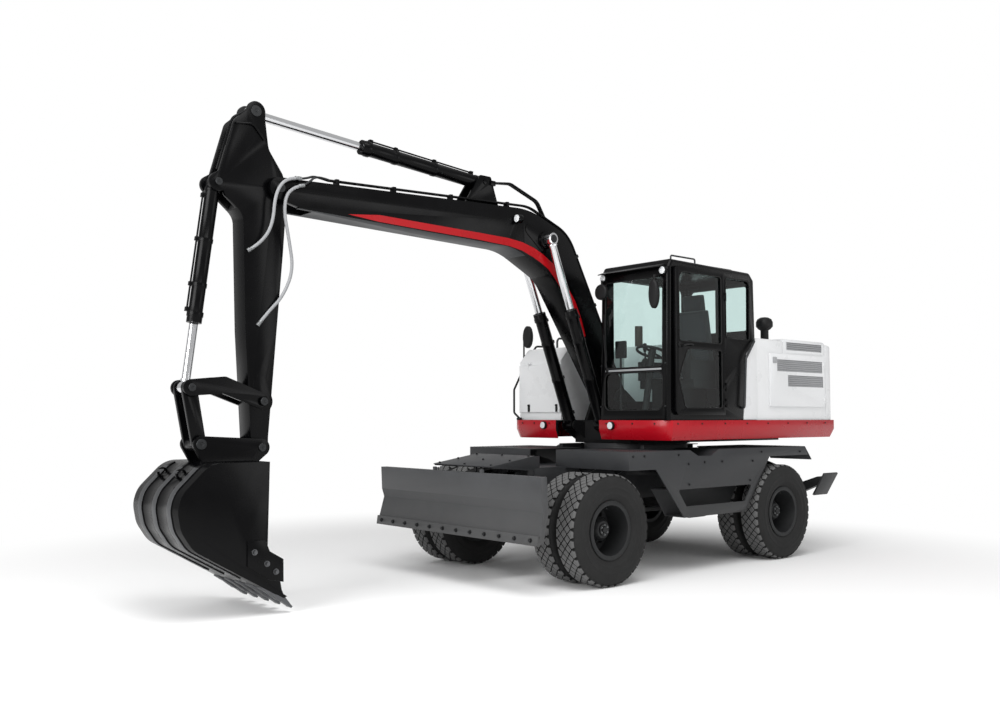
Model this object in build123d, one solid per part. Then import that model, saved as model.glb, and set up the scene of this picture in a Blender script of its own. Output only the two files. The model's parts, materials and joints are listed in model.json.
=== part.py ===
from build123d import *
import math
import os

# A wheeled excavator, in millimetres.
# X points to the front, Y to the operator's left, Z up; the tyres stand on Z = 0.
# While it is modelled, X = 0 and Y = 0 lie on the axis that the upper structure turns about.

# General clearances and stock
RUNNING_GAP = 5.0
SEAT_GAP = 0.3
PIN_GAP = 0.4
UPRIGHT = (Align.CENTER, Align.CENTER, Align.MIN)

# Wheels and axles
TYRE_RADIUS = 527.5
TYRE_HALF_WIDTH = 135.0
BEAD_RADIUS = 254.0
OUTER_TYRE_Y = 1135.0
INNER_TYRE_Y = 815.0
FRONT_AXLE_X = 1775.0
REAR_AXLE_X = -1085.0
KINGPIN_Y = 600.0
KINGPIN_BARREL_RADIUS = 72.0
KINGPIN_BARREL_HALF = 100.0
HUB_FACE_Y = 760.0
FLANGE_RADIUS = 120.0
STEERING_ARM_BACK = 230.0
STEERING_ARM_IN = 40.0

# Undercarriage
FRAME_HALF_WIDTH = 340.0
FRAME_BOTTOM_Z = 700.0
FRAME_TOP_Z = 1080.0
FRAME_FRONT_X = 2010.0
FRAME_REAR_X = -1990.0
TOWER_RADIUS = 640.0
TOWER_TOP_Z = 1180.0
RING_RADIUS = 590.0
RING_TOP_Z = 1300.0
DECK_HALF_WIDTH = 1207.0
DECK_THICKNESS = 10.0
DECK_TOP_Z = 1250.0
DECK_FRONT_X = 1480.0
STEP_PLATE = 12.0
TOWER_GAP_Y = 650.0

# Dozer blade: a parallel linkage carries it
BLADE_HALF_WIDTH = 1242.0
BLADE_ARM_X = 2060.0
BLADE_ARM_Z = 415.0
BLADE_ARM_LENGTH = 560.0
BLADE_ARM_ANGLE = 25.0
BLADE_ARM_Y = 300.0
BLADE_ARM_THICKNESS = 70.0
BLADE_LINK_RISE = 285.0
BLADE_CYLINDER_Y = 170.0

# Rear stabilisers
LEG_X = -2050.0
LEG_WIDTH = 100.0
LEG_PIVOT_Y = 330.0
LEG_PIVOT_Z = 520.0
LEG_PAD_Y = 1130.0
LEG_PAD_Z = 830.0
LEG_LOWERED_ANGLE = 60.0
BRACKET_PLATE = 30.0

# Upper structure
PLATFORM_FRONT_X = 850.0
PLATFORM_REAR_X = -2300.0
PLATFORM_HALF_WIDTH = 1180.0
SKIRT_BOTTOM_Z = 1349.0
SKIRT_FOLD_Z = 1450.0
DECK_Z = 1555.0
SKIRT_WALL = 40.0
BOOM_Y = -110.0
RECESS_HALF_WIDTH = 335.0
RECESS_BACK_X = 560.0

# Working equipment, pivots as (x, z)
BOOM_FOOT = (300.0, 1800.0)
BOOM_TIP = (4610.0, 3550.0)
BOOM_RAM_BASE = (700.0, 1500.0)
BOOM_RAM_EYE = (1480.0, 3470.0)
BOOM_RAM_Y = 245.0
ARM_RAM_BASE = (2260.0, 3990.0)
ARM_RAM_EYE = (4820.0, 4190.0)
ARM_END = (4740.0, 1335.0)
ROCKER_PIVOT = (4730.0, 1720.0)
ROCKER_END = (5360.0, 1825.0)
BUCKET_RAM_BASE = (5150.0, 3530.0)
BUCKET_EAR = (5270.0, 1370.0)
BOOM_HALF_WIDTH = 150.0
ARM_HALF_WIDTH = 100.0
BUCKET_HALF_WIDTH = 450.0
BUCKET_PLATE = 18.0

# Cab
CAB_RIGHT_Y = 215.0
CAB_LEFT_Y = 1165.0
CAB_WALL = 45.0
DOOR_REAR_X = -80.0
DOOR_FRONT_X = 745.0
DOOR_BOTTOM_Z = 1610.0
DOOR_TOP_Z = 3145.0
GLASS = 6.0

# Engine housing, counterweight, tank
HOUSING_FRONT_X = -720.0
HOUSING_REAR_X = -2150.0
HOUSING_HALF_WIDTH = 1160.0
HOUSING_TOP_Z = 2330.0
HOUSING_WALL = 25.0
SIDE_DOOR_FRONT_X = -960.0
SIDE_DOOR_REAR_X = -2105.0
SIDE_DOOR_BOTTOM_Z = 1710.0
HOOD_FRONT_X = -1257.0
HOOD_HEIGHT = 165.0
HOOD_TOP_Z = HOUSING_TOP_Z + HOOD_HEIGHT
COUNTERWEIGHT_REAR_X = -2450.0
TANK_FRONT_X = 740.0
TANK_REAR_X = -340.0
TANK_OUTER_Y = -1165.0
TANK_INNER_Y = -470.0
TANK_TOP_Z = 2400.0


# Shared shapes
def side_plate(points, y_low, y_high, radius=0):
    """An outline in X and Z, as thick as from y_low to y_high."""
    face = make_face(Polyline(*points, close=True))
    if radius:
        face = fillet(face.vertices(), radius)
    return extrude(Pos(0, y_high, 0) * (Plane.XZ * face), y_high - y_low, dir=(0, -1, 0))


def level_plate(points, z_low, z_high, radius=0):
    """An outline in X and Y, as thick as from z_low to z_high."""
    face = make_face(Polyline(*points, close=True))
    if radius:
        face = fillet(face.vertices(), radius)
    return extrude(Pos(0, 0, z_low) * face, z_high - z_low, dir=(0, 0, 1))


def cross_plate(points, x_low, x_high, radius=0):
    """An outline in Y and Z, as thick as from x_low to x_high."""
    face = make_face(Polyline(*points, close=True))
    if radius:
        face = fillet(face.vertices(), radius)
    return extrude(Pos(x_low, 0, 0) * (Plane.YZ * face), x_high - x_low, dir=(1, 0, 0))


def block(x_low, x_high, y_low, y_high, z_low, z_high):
    size = (x_high - x_low, y_high - y_low, z_high - z_low)
    centre = ((x_low + x_high) / 2, (y_low + y_high) / 2, (z_low + z_high) / 2)
    return Pos(*centre) * Box(*size)


def cross_pin(point, radius, y_low, y_high):
    """A round pin along Y through the point (x, z)."""
    middle = (y_low + y_high) / 2
    return Pos(point[0], middle, point[1]) * Rot(90, 0, 0) * Cylinder(radius, y_high - y_low)


def upright(x, y, radius, z_low, z_high):
    return Pos(x, y, z_low) * Cylinder(radius, z_high - z_low, align=UPRIGHT)


def bar(start, end, radius):
    path = Vector(*end) - Vector(*start)
    return extrude(Plane(origin=start, z_dir=path) * Circle(radius), path.length)


def strap(ends, y_low, y_high):
    """A plate round two or more bosses given as (x, z, radius)."""
    rings = [Pos(x, z) * Circle(radius) for x, z, radius in ends]
    face = make_hull([edge for ring in rings for edge in ring.edges()])
    return extrude(Pos(0, y_high, 0) * (Plane.XZ * face), y_high - y_low, dir=(0, -1, 0))


def both_sides(shape):
    return shape + mirror(shape, Plane.XZ)


def pipe(points, radius, bend):
    """A round pipe along straight runs whose corners are bent to one radius."""
    route = FilletPolyline(*points, radius=bend)
    start = Plane(origin=route @ 0, z_dir=route % 0)
    return sweep(start * Circle(radius), path=route)


HINGE_RADIUS = 11.0
HINGE_PIN = 6.0


def hinge_pair(moving_arm, fixed_arm):
    """A hinge along Z at the origin: its knuckle with an arm, its two outer knuckles with pin and arms.

    Each arm is a block given as (x_low, x_high, y_low, y_high).
    """
    moving = Cylinder(HINGE_RADIUS, 40) + block(*moving_arm, -20, 20)
    moving -= Cylinder(HINGE_PIN + PIN_GAP, 44)
    fixed = Cylinder(HINGE_PIN, 92)
    for low in (-46, 21):
        fixed += upright(0, 0, HINGE_RADIUS, low, low + 25) + block(*fixed_arm, low, low + 25)
    return moving, fixed


def about_boom(shape):
    """The shape modelled round Y = 0, set on the boom's own middle line."""
    return Pos(0, BOOM_Y, 0) * shape


def along_x(radius, start, length):
    return Pos(start, 0, 0) * Rot(0, 90, 0) * Cylinder(radius, length, align=UPRIGHT)


def ram(length, closed, barrel_length, barrel_radius, rod_radius, base_width, eye_width, pin_radius):
    """A hydraulic cylinder along X: its barrel turns about the origin, its rod's eye is at length."""
    eye_radius = barrel_radius * 0.95
    bottom = eye_radius + 25
    gland = barrel_length - 90
    barrel = along_x(barrel_radius, eye_radius * 0.6, barrel_length - eye_radius * 0.6)
    barrel += along_x(barrel_radius + 5, eye_radius * 0.8, 30)
    barrel += along_x(barrel_radius + 9, gland, 38) + along_x(barrel_radius + 4, gland, 90)
    if barrel_radius > 50:
        rail_y = barrel_radius + 17
        for share in (0.4, 0.72):
            barrel += along_x(barrel_radius + 5, barrel_length * share, 34)
            barrel += block(barrel_length * share, barrel_length * share + 34, barrel_radius - 8, rail_y + 13,
                            -17, 17)
        barrel += Pos(0, rail_y, 0) * along_x(8, bottom + 30, gland - bottom - 35)
        for port in (bottom + 20, gland - 30):
            barrel += block(port, port + 36, barrel_radius - 8, rail_y + 12, -20, 20)
    barrel += Cylinder(eye_radius, base_width)
    barrel -= along_x(rod_radius + PIN_GAP, bottom, length)
    barrel -= Cylinder(pin_radius + PIN_GAP, base_width + 2)
    start = length - closed + bottom + 10
    rod = along_x(rod_radius, start, length - start) + along_x(rod_radius + 8, length - eye_radius - 14, 20)
    rod += Cylinder(eye_radius, eye_width).moved(Location((length, 0, 0)))
    return barrel, rod


def set_ram(pieces, base, eye, pin_direction):
    place = Plane(origin=base, x_dir=Vector(*eye) - Vector(*base), z_dir=pin_direction).location
    return [place * piece for piece in pieces]


def distance(a, b):
    return math.hypot(b[0] - a[0], b[1] - a[1])


nodes = {}

# Wheels: twin tyres on one rim drum with a deep outer dish
tyre_profile = [(BEAD_RADIUS, 90), (BEAD_RADIUS + 26, 92), (330, 128), (400, TYRE_HALF_WIDTH), (470, 131),
                (508, 114), (TYRE_RADIUS, 95)]


def ring_about_y(points):
    face = make_face(Polyline(*points, close=True))
    return revolve(face, Axis.Y)


def twin_tyres():
    half = tyre_profile
    outline = half + [(radius, -y) for radius, y in reversed(half)]
    tyre = ring_about_y(outline)
    return Pos(0, OUTER_TYRE_Y, 0) * tyre + Pos(0, INNER_TYRE_Y, 0) * tyre


RIM_RADIUS = BEAD_RADIUS - SEAT_GAP
RIM_INSIDE = 235.0
RIM_FLANGE = 279.0
RIM_HALF = 104.0
RIM_LIP = 11.5
HAND_HOLES = 8
HAND_HOLE_RADIUS = 24.0


def twin_rim():
    inner_low = INNER_TYRE_Y - RIM_HALF
    inner_high = INNER_TYRE_Y + RIM_HALF
    outer_low = OUTER_TYRE_Y - RIM_HALF
    outer_high = OUTER_TYRE_Y + RIM_HALF
    drum_half = (inner_high + outer_low) / 2
    points = [(0, HUB_FACE_Y), (150, HUB_FACE_Y), (150, drum_half - 20), (RIM_INSIDE, drum_half - 20)]
    points += [(RIM_INSIDE, inner_low)]
    for low, high in ((inner_low, inner_high), (outer_low, outer_high)):
        points += [(RIM_FLANGE, low), (RIM_FLANGE, low + RIM_LIP), (RIM_RADIUS, low + RIM_LIP)]
        points += [(RIM_RADIUS, high - RIM_LIP), (RIM_FLANGE, high - RIM_LIP), (RIM_FLANGE, high)]
        if high == inner_high:
            points += [(RIM_RADIUS, high), (RIM_RADIUS, outer_low)]
    points += [(RIM_INSIDE, outer_high), (RIM_INSIDE, drum_half + 5), (125, drum_half + 5)]
    points += [(112, drum_half + 120), (80, drum_half + 165), (0, drum_half + 165)]
    rim = ring_about_y(points)
    for number in range(HAND_HOLES):
        hole = Pos(180, drum_half, 0) * Rot(90, 0, 0) * Cylinder(HAND_HOLE_RADIUS, 120)
        rim -= Rot(0, number * 360 / HAND_HOLES, 0) * hole
    return rim


wheel_places = (("front", FRONT_AXLE_X), ("rear", REAR_AXLE_X))
for end, axle_x in wheel_places:
    tyres = Pos(axle_x, 0, TYRE_RADIUS) * twin_tyres()
    rim = Pos(axle_x, 0, TYRE_RADIUS) * twin_rim()
    nodes[f"tyres_{end}_left"] = tyres
    nodes[f"tyres_{end}_right"] = mirror(tyres, Plane.XZ)
    nodes[f"rim_{end}_left"] = rim
    nodes[f"rim_{end}_right"] = mirror(rim, Plane.XZ)

# Front axle: a beam with kingpin barrels, hung under the frame at a saddle
beam = block(FRONT_AXLE_X - 70, FRONT_AXLE_X + 70, -KINGPIN_Y, KINGPIN_Y, TYRE_RADIUS - 75, TYRE_RADIUS + 75)
differential = Pos(FRONT_AXLE_X, 0, TYRE_RADIUS) * Rot(0, 90, 0) * Cylinder(160, 260)
saddle = block(FRONT_AXLE_X - 120, FRONT_AXLE_X + 120, -140, 140, TYRE_RADIUS + 60, FRAME_BOTTOM_Z)
barrel = upright(FRONT_AXLE_X, KINGPIN_Y, KINGPIN_BARREL_RADIUS, TYRE_RADIUS - KINGPIN_BARREL_HALF,
                 TYRE_RADIUS + KINGPIN_BARREL_HALF)
nodes["front_axle"] = beam + differential + saddle + both_sides(barrel)

# Knuckles: lugs above and below the kingpin barrel, a web, a flange for the hub and a steering arm
LUG = 32.0
lug_low = TYRE_RADIUS + KINGPIN_BARREL_HALF + PIN_GAP
web_inner_y = KINGPIN_Y + KINGPIN_BARREL_RADIUS + 10
flange_y = HUB_FACE_Y - SEAT_GAP


def knuckle():
    lug = upright(0, KINGPIN_Y, 62, lug_low, lug_low + LUG)
    lug += block(-62, 62, KINGPIN_Y, web_inner_y + 5, lug_low, lug_low + LUG)
    lug += upright(0, KINGPIN_Y, 40, lug_low + LUG, lug_low + LUG + 14)
    lower = Pos(0, 0, TYRE_RADIUS) * mirror(Pos(0, 0, -TYRE_RADIUS) * lug, Plane.XY)
    web = block(-95, 95, web_inner_y, flange_y - 30, TYRE_RADIUS - 133, TYRE_RADIUS + 133)
    flange = Pos(0, flange_y - 15, TYRE_RADIUS) * Rot(90, 0, 0) * Cylinder(FLANGE_RADIUS + 20, 30)
    arm_top = TYRE_RADIUS - KINGPIN_BARREL_HALF - PIN_GAP
    arm_end_y = KINGPIN_Y - STEERING_ARM_IN
    rings = [Pos(0, KINGPIN_Y) * Circle(60), Pos(-STEERING_ARM_BACK, arm_end_y) * Circle(36)]
    outline = make_hull([edge for ring in rings for edge in ring.edges()])
    arm = extrude(Pos(0, 0, arm_top - LUG) * outline, LUG, dir=(0, 0, 1))
    return Pos(FRONT_AXLE_X, 0, 0) * (lug + lower + web + flange + arm)


nodes["knuckle_left"] = knuckle()
nodes["knuckle_right"] = mirror(nodes["knuckle_left"], Plane.XZ)

# Tie rod between the steering arms, its eyes resting on them
tie_x = FRONT_AXLE_X - STEERING_ARM_BACK
tie_y = KINGPIN_Y - STEERING_ARM_IN
tie_low = TYRE_RADIUS - KINGPIN_BARREL_HALF
tie_rod = bar((tie_x, -tie_y, tie_low + 18), (tie_x, tie_y, tie_low + 18), 16)
tie_rod += both_sides(upright(tie_x, tie_y, 34, tie_low, tie_low + 36))
nodes["steering_rod"] = tie_rod

# Rear axle: a tube with its differential, under the frame
rear_beam = Pos(REAR_AXLE_X, 0, TYRE_RADIUS) * Rot(90, 0, 0) * Cylinder(88, 2 * (flange_y - 30))
rear_flange = Pos(REAR_AXLE_X, flange_y - 15, TYRE_RADIUS) * Rot(90, 0, 0) * Cylinder(FLANGE_RADIUS + 20, 30)
rear_differential = Pos(REAR_AXLE_X, 0, TYRE_RADIUS) * Rot(0, 90, 0) * Cylinder(160, 260)
rear_saddle = block(REAR_AXLE_X - 110, REAR_AXLE_X + 110, 200, 320, TYRE_RADIUS, FRAME_BOTTOM_Z)
nodes["rear_axle"] = rear_beam + both_sides(rear_flange) + rear_differential + both_sides(rear_saddle)

# Drive line: gearbox under the frame and a shaft to each axle
gearbox_low = TYRE_RADIUS - 110
gearbox = block(180, 560, -160, 160, gearbox_low, FRAME_BOTTOM_Z)
front_input_x = FRONT_AXLE_X - 130 - SEAT_GAP
rear_input_x = REAR_AXLE_X + 130 + SEAT_GAP
yoke_starts = (560, 120, front_input_x - 60, rear_input_x)
yokes = [bar((x, 0, TYRE_RADIUS), (x + 60, 0, TYRE_RADIUS), 62) for x in yoke_starts]
front_shaft = bar((560, 0, TYRE_RADIUS), (front_input_x, 0, TYRE_RADIUS), 34)
rear_shaft = bar((180, 0, TYRE_RADIUS), (rear_input_x, 0, TYRE_RADIUS), 34)
drive_line = gearbox + front_shaft + rear_shaft
for yoke in yokes:
    drive_line += yoke
nodes["drive_line"] = drive_line

# Undercarriage frame: box beam, front bracket for the blade, rear bracket for the legs, tower and ring
frame_side = [(FRAME_REAR_X, 760), (FRAME_REAR_X + 260, FRAME_BOTTOM_Z), (1960, FRAME_BOTTOM_Z), (1960, 345),
              (FRAME_FRONT_X, 345), (FRAME_FRONT_X, 1060), (1850, FRAME_TOP_Z), (FRAME_REAR_X, FRAME_TOP_Z)]
frame = side_plate(frame_side, -FRAME_HALF_WIDTH, FRAME_HALF_WIDTH)
frame += upright(0, 0, TOWER_RADIUS, FRAME_TOP_Z - 120, TOWER_TOP_Z)
frame += upright(0, 0, RING_RADIUS, TOWER_TOP_Z, RING_TOP_Z - PIN_GAP)
frame += both_sides(block(-60, 600, 590, TOWER_GAP_Y - 8, FRAME_TOP_Z - 80, RING_TOP_Z - 15))

arm_lugs = []
for pivot_z, lug_y, gap_half in ((BLADE_ARM_Z, BLADE_ARM_Y, BLADE_ARM_THICKNESS / 2),):
    for inner_y in (lug_y - gap_half - RUNNING_GAP / 5 - 28, lug_y + gap_half + RUNNING_GAP / 5):
        lug = strap([(BLADE_ARM_X, pivot_z, 48), (FRAME_FRONT_X - 40, pivot_z, 60)], inner_y, inner_y + 28)
        arm_lugs.append(lug)
link_lug = strap([(BLADE_ARM_X, BLADE_ARM_Z + BLADE_LINK_RISE, 42),
                  (FRAME_FRONT_X - 40, BLADE_ARM_Z + BLADE_LINK_RISE, 55)], 61, 86)
ram_base = (BLADE_ARM_X, 1000.0)
ram_lugs = [strap([(ram_base[0], ram_base[1], 42), (FRAME_FRONT_X - 40, ram_base[1], 50)], y, y + 20)
            for y in (BLADE_CYLINDER_Y - 50 - 21, BLADE_CYLINDER_Y + 51)]
for lug in arm_lugs + [link_lug] + ram_lugs:
    frame += both_sides(lug)
for y in (BLADE_ARM_Y, -BLADE_ARM_Y):
    frame += cross_pin((BLADE_ARM_X, BLADE_ARM_Z), 25, y - 64, y + 64)
frame += cross_pin((BLADE_ARM_X, BLADE_ARM_Z + BLADE_LINK_RISE), 22, -86, 86)
for y in (BLADE_CYLINDER_Y, -BLADE_CYLINDER_Y):
    frame += cross_pin(ram_base, 22, y - 71, y + 71)

# Rear bracket: two plates that hold the legs and their cylinders
LEG_RAM_BASE = (150.0, 1080.0)
bracket_outline = [(-395, 450), (395, 450), (425, 600), (235, 1150), (-235, 1150), (-425, 600)]
plate_front_x = LEG_X + LEG_WIDTH / 2 + 1
plate_rear_x = LEG_X - LEG_WIDTH / 2 - 1 - BRACKET_PLATE
front_plate = cross_plate(bracket_outline, plate_front_x, plate_front_x + BRACKET_PLATE)
rear_plate = cross_plate(bracket_outline, plate_rear_x, plate_rear_x + BRACKET_PLATE)
frame += front_plate + rear_plate + block(plate_rear_x, plate_front_x, -70, 70, 450, 1150)
for side in (1, -1):
    for y, z, radius in ((LEG_PIVOT_Y, LEG_PIVOT_Z, 30), (LEG_RAM_BASE[0], LEG_RAM_BASE[1], 22)):
        pin = Pos((plate_rear_x + plate_front_x + BRACKET_PLATE) / 2, side * y, z) * Rot(0, 90, 0) * Cylinder(
            radius, plate_front_x + BRACKET_PLATE - plate_rear_x)
        frame += pin
nodes["undercarriage_frame"] = frame

# Decks over the wheels, step frames and their brackets, fixed to the frame
deck_line = [(DECK_FRONT_X, DECK_TOP_Z), (540, DECK_TOP_Z), (400, DECK_TOP_Z - 65), (190, DECK_TOP_Z - 65),
             (60, DECK_TOP_Z), (-1603, DECK_TOP_Z), (-1738, DECK_TOP_Z - 150)]
deck_outline = deck_line + [(x, z - DECK_THICKNESS) for x, z in reversed(deck_line)]
under_deck = DECK_TOP_Z - DECK_THICKNESS
side = side_plate(deck_outline, TOWER_GAP_Y, DECK_HALF_WIDTH)
side += level_plate([(700, TOWER_GAP_Y), (700, 200), (DECK_FRONT_X, 200), (DECK_FRONT_X, TOWER_GAP_Y)],
                    under_deck, DECK_TOP_Z)
side += level_plate([(-700, TOWER_GAP_Y), (-700, FRAME_HALF_WIDTH), (-1603, FRAME_HALF_WIDTH),
                     (-1603, TOWER_GAP_Y)], under_deck, DECK_TOP_Z)
flange_low = DECK_TOP_Z - 180
side += cross_plate([(200, DECK_TOP_Z), (200, FRAME_TOP_Z + 1), (FRAME_HALF_WIDTH + 1, FRAME_TOP_Z + 1),
                     (FRAME_HALF_WIDTH + 1, flange_low), (DECK_HALF_WIDTH, flange_low),
                     (DECK_HALF_WIDTH, DECK_TOP_Z)], DECK_FRONT_X - STEP_PLATE, DECK_FRONT_X)
step_low = 567.0
shelf_z = 854.0
panel_outline = [(DECK_FRONT_X, under_deck), (DECK_FRONT_X, flange_low), (1080, flange_low), (643, step_low),
                 (-405, step_low), (-880, DECK_TOP_Z - 100), (-1666, DECK_TOP_Z - 100), (-1603, under_deck),
                 (60, under_deck), (190, DECK_TOP_Z - 75), (400, DECK_TOP_Z - 75), (540, under_deck)]
panel = side_plate(panel_outline, DECK_HALF_WIDTH - STEP_PLATE, DECK_HALF_WIDTH)
panel -= side_plate([(742, shelf_z), (608, 680), (-398, 680), (-530, shelf_z)], 1100, 1300, 18)
side += panel
step_wall_y = 948.0
for x_low, x_high, z in ((-402, 640, step_low), (-620, 860, shelf_z)):
    side += block(x_low, x_high, step_wall_y, DECK_HALF_WIDTH - STEP_PLATE, z, z + STEP_PLATE)
    side += block(x_low, x_high, DECK_HALF_WIDTH - STEP_PLATE, DECK_HALF_WIDTH, z, z + 26)
step_wall = [(860, shelf_z), (640, step_low), (-402, step_low), (-620, shelf_z)]
side += side_plate(step_wall, step_wall_y, step_wall_y + STEP_PLATE)
bracket = [(FRAME_HALF_WIDTH, 960), (TOWER_GAP_Y + 10, 1100), (DECK_HALF_WIDTH - STEP_PLATE, 1200),
           (DECK_HALF_WIDTH - STEP_PLATE, under_deck), (FRAME_HALF_WIDTH, under_deck)]
for x_low in (1250, 720, -732, -1500):
    side += cross_plate(bracket, x_low, x_low + STEP_PLATE)
for x_low in (560, -560):
    hanger = [(DECK_HALF_WIDTH - STEP_PLATE, shelf_z), (DECK_HALF_WIDTH - STEP_PLATE, DECK_TOP_Z - 75),
              (TOWER_GAP_Y, DECK_TOP_Z - 75), (step_wall_y, shelf_z)]
    side += cross_plate(hanger, x_low, x_low + STEP_PLATE)
nodes["fenders"] = both_sides(side)

# Tow eye on the rear bracket
tow_plate_x = plate_rear_x
TOW_EYE_REACH = 95.0
TOW_EYE_THICKNESS = 40.0
TOW_EYE_BORE = 25.0
tow_z = 620.0
tow_low = tow_z - TOW_EYE_THICKNESS / 2
tow_high = tow_z + TOW_EYE_THICKNESS / 2
tow = block(tow_plate_x - TOW_EYE_REACH, tow_plate_x, -55, 55, tow_low, tow_high)
tow += upright(tow_plate_x - TOW_EYE_REACH, 0, 55, tow_low, tow_high)
tow -= upright(tow_plate_x - TOW_EYE_REACH, 0, TOW_EYE_BORE, tow_z - 50, tow_z + 50)
nodes["tow_eye"] = tow

# Blade linkage
blade_cos = math.cos(math.radians(BLADE_ARM_ANGLE))
blade_sin = math.sin(math.radians(BLADE_ARM_ANGLE))
blade_pin = (BLADE_ARM_X + BLADE_ARM_LENGTH * blade_cos, BLADE_ARM_Z + BLADE_ARM_LENGTH * blade_sin)
link_base = (BLADE_ARM_X, BLADE_ARM_Z + BLADE_LINK_RISE)
link_pin = (blade_pin[0], blade_pin[1] + BLADE_LINK_RISE)
blade_ram_eye = (2540.0, 790.0)
half = BLADE_ARM_THICKNESS / 2
blade_arm = strap([(BLADE_ARM_X, BLADE_ARM_Z, 48), (*blade_pin, 40)], BLADE_ARM_Y - half, BLADE_ARM_Y + half)
blade_arm -= cross_pin((BLADE_ARM_X, BLADE_ARM_Z), 25 + PIN_GAP, BLADE_ARM_Y - half, BLADE_ARM_Y + half)
blade_arm -= cross_pin(blade_pin, 25 + PIN_GAP, BLADE_ARM_Y - half, BLADE_ARM_Y + half)
tube_middle = ((BLADE_ARM_X + blade_pin[0]) / 2, (BLADE_ARM_Z + blade_pin[1]) / 2)
nodes["blade_arms"] = both_sides(blade_arm) + cross_pin(tube_middle, 38, -BLADE_ARM_Y, BLADE_ARM_Y)

blade_link = strap([(*link_base, 42), (*link_pin, 38)], -60, 60)
for pin in (link_base, link_pin):
    blade_link -= cross_pin(pin, 22 + PIN_GAP, -60, 60)
nodes["blade_link"] = blade_link

# Mouldboard with a top rail, three flats, a cutting edge and end plates
blade_front = [(2680, 1060), (2668, 830), (2637, 745), (2697, 545), (2722, 460)]
blade_back = [(2694, 460), (2668, 540), (2610, 745), (2642, 830), (2650, 1035), (2610, 1035), (2610, 1060)]
blade = side_plate(blade_front + blade_back, -BLADE_HALF_WIDTH, BLADE_HALF_WIDTH)
cutting_edge = [(2706, 548), (2722, 548), (2734, 460), (2718, 460)]
blade += side_plate(cutting_edge, -BLADE_HALF_WIDTH, BLADE_HALF_WIDTH)
end_plate = [(2680, 1060), (2610, 1060), (2590, 745), (2650, 480), (2722, 460), (2697, 545), (2640, 745),
             (2668, 830)]
blade += both_sides(side_plate(end_plate, BLADE_HALF_WIDTH - 14, BLADE_HALF_WIDTH))
rib_outline = [(2645, 1035), (2612, 1035), (2585, 745), (2655, 490), (2680, 520), (2620, 745)]
for rib_y in (560, 900):
    blade += both_sides(side_plate(rib_outline, rib_y, rib_y + 16))
blade += both_sides(block(2612, 2640, 350, 382, 1050, 1092))
in_front = [(2664, 1100), (2655, 830), (2624, 745), (2684, 545), (2708, 440), (2900, 440), (2900, 1100)]
front_cut = side_plate(in_front, -900, 900)
blade_ram_gap = 50.0 + RUNNING_GAP
# Each pair of lugs: its bosses as (x, z, radius), its inner faces, its thickness
lug_table = (
    ([(*blade_pin, 40), (2620, blade_pin[1] + 20, 60)],
     (BLADE_ARM_Y - half - 29, BLADE_ARM_Y + half + 1), 28),
    ([(*link_pin, 38), (2625, link_pin[1], 50)], (61,), 25),
    ([(*blade_ram_eye, 36), (2615, 800, 40)],
     (BLADE_CYLINDER_Y - blade_ram_gap - 16, BLADE_CYLINDER_Y + blade_ram_gap), 16),
)
for bosses, inner_faces, thickness in lug_table:
    for inner_y in inner_faces:
        blade += both_sides(strap(bosses, inner_y, inner_y + thickness) - front_cut)
for y in (BLADE_ARM_Y, -BLADE_ARM_Y):
    blade += cross_pin(blade_pin, 25, y - 64, y + 64)
blade += cross_pin(link_pin, 22, -86, 86)
nodes["blade"] = blade

# Cover plate over the blade's linkage, fixed to the frame's front
COVER_HALF_WIDTH = 450.0
cover = side_plate([(FRAME_FRONT_X, 1207), (2580, 1120), (2580, 1112), (FRAME_FRONT_X, 1199)],
                   -COVER_HALF_WIDTH, COVER_HALF_WIDTH)
cover_cheek = [(FRAME_FRONT_X + SEAT_GAP, 1203), (2580, 1116), (2560, 1100), (FRAME_FRONT_X + SEAT_GAP, 1062)]
cover += both_sides(side_plate(cover_cheek, COVER_HALF_WIDTH - 8, COVER_HALF_WIDTH))
cover_rib = [(FRAME_FRONT_X - 60, FRAME_TOP_Z + 2), (FRAME_FRONT_X - 60, 1203), (FRAME_FRONT_X + 20, 1203),
             (FRAME_FRONT_X + 20, 1000), (FRAME_FRONT_X + SEAT_GAP, 1000),
             (FRAME_FRONT_X + SEAT_GAP, FRAME_TOP_Z + 2)]
for y in (-COVER_HALF_WIDTH, -72, 60, COVER_HALF_WIDTH - 12):
    cover += side_plate(cover_rib, y, y + 12)
cover += block(FRAME_FRONT_X + SEAT_GAP, FRAME_FRONT_X + 8, -COVER_HALF_WIDTH, COVER_HALF_WIDTH, 1062, 1203)
nodes["blade_cover"] = cover

blade_ram = ram(distance(ram_base, blade_ram_eye), 522, 455, 45, 26, 90, 90, 22)
barrel, rod = set_ram(blade_ram, (ram_base[0], BLADE_CYLINDER_Y, ram_base[1]),
                      (blade_ram_eye[0], BLADE_CYLINDER_Y, blade_ram_eye[1]), (0, -1, 0))
nodes["blade_cylinder_barrels"] = both_sides(barrel)
nodes["blade_cylinder_rods"] = both_sides(rod)

# Rear stabilisers: legs that swing outwards, each with its foot and cylinder
leg_eye = (790.0, 860.0)


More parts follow.
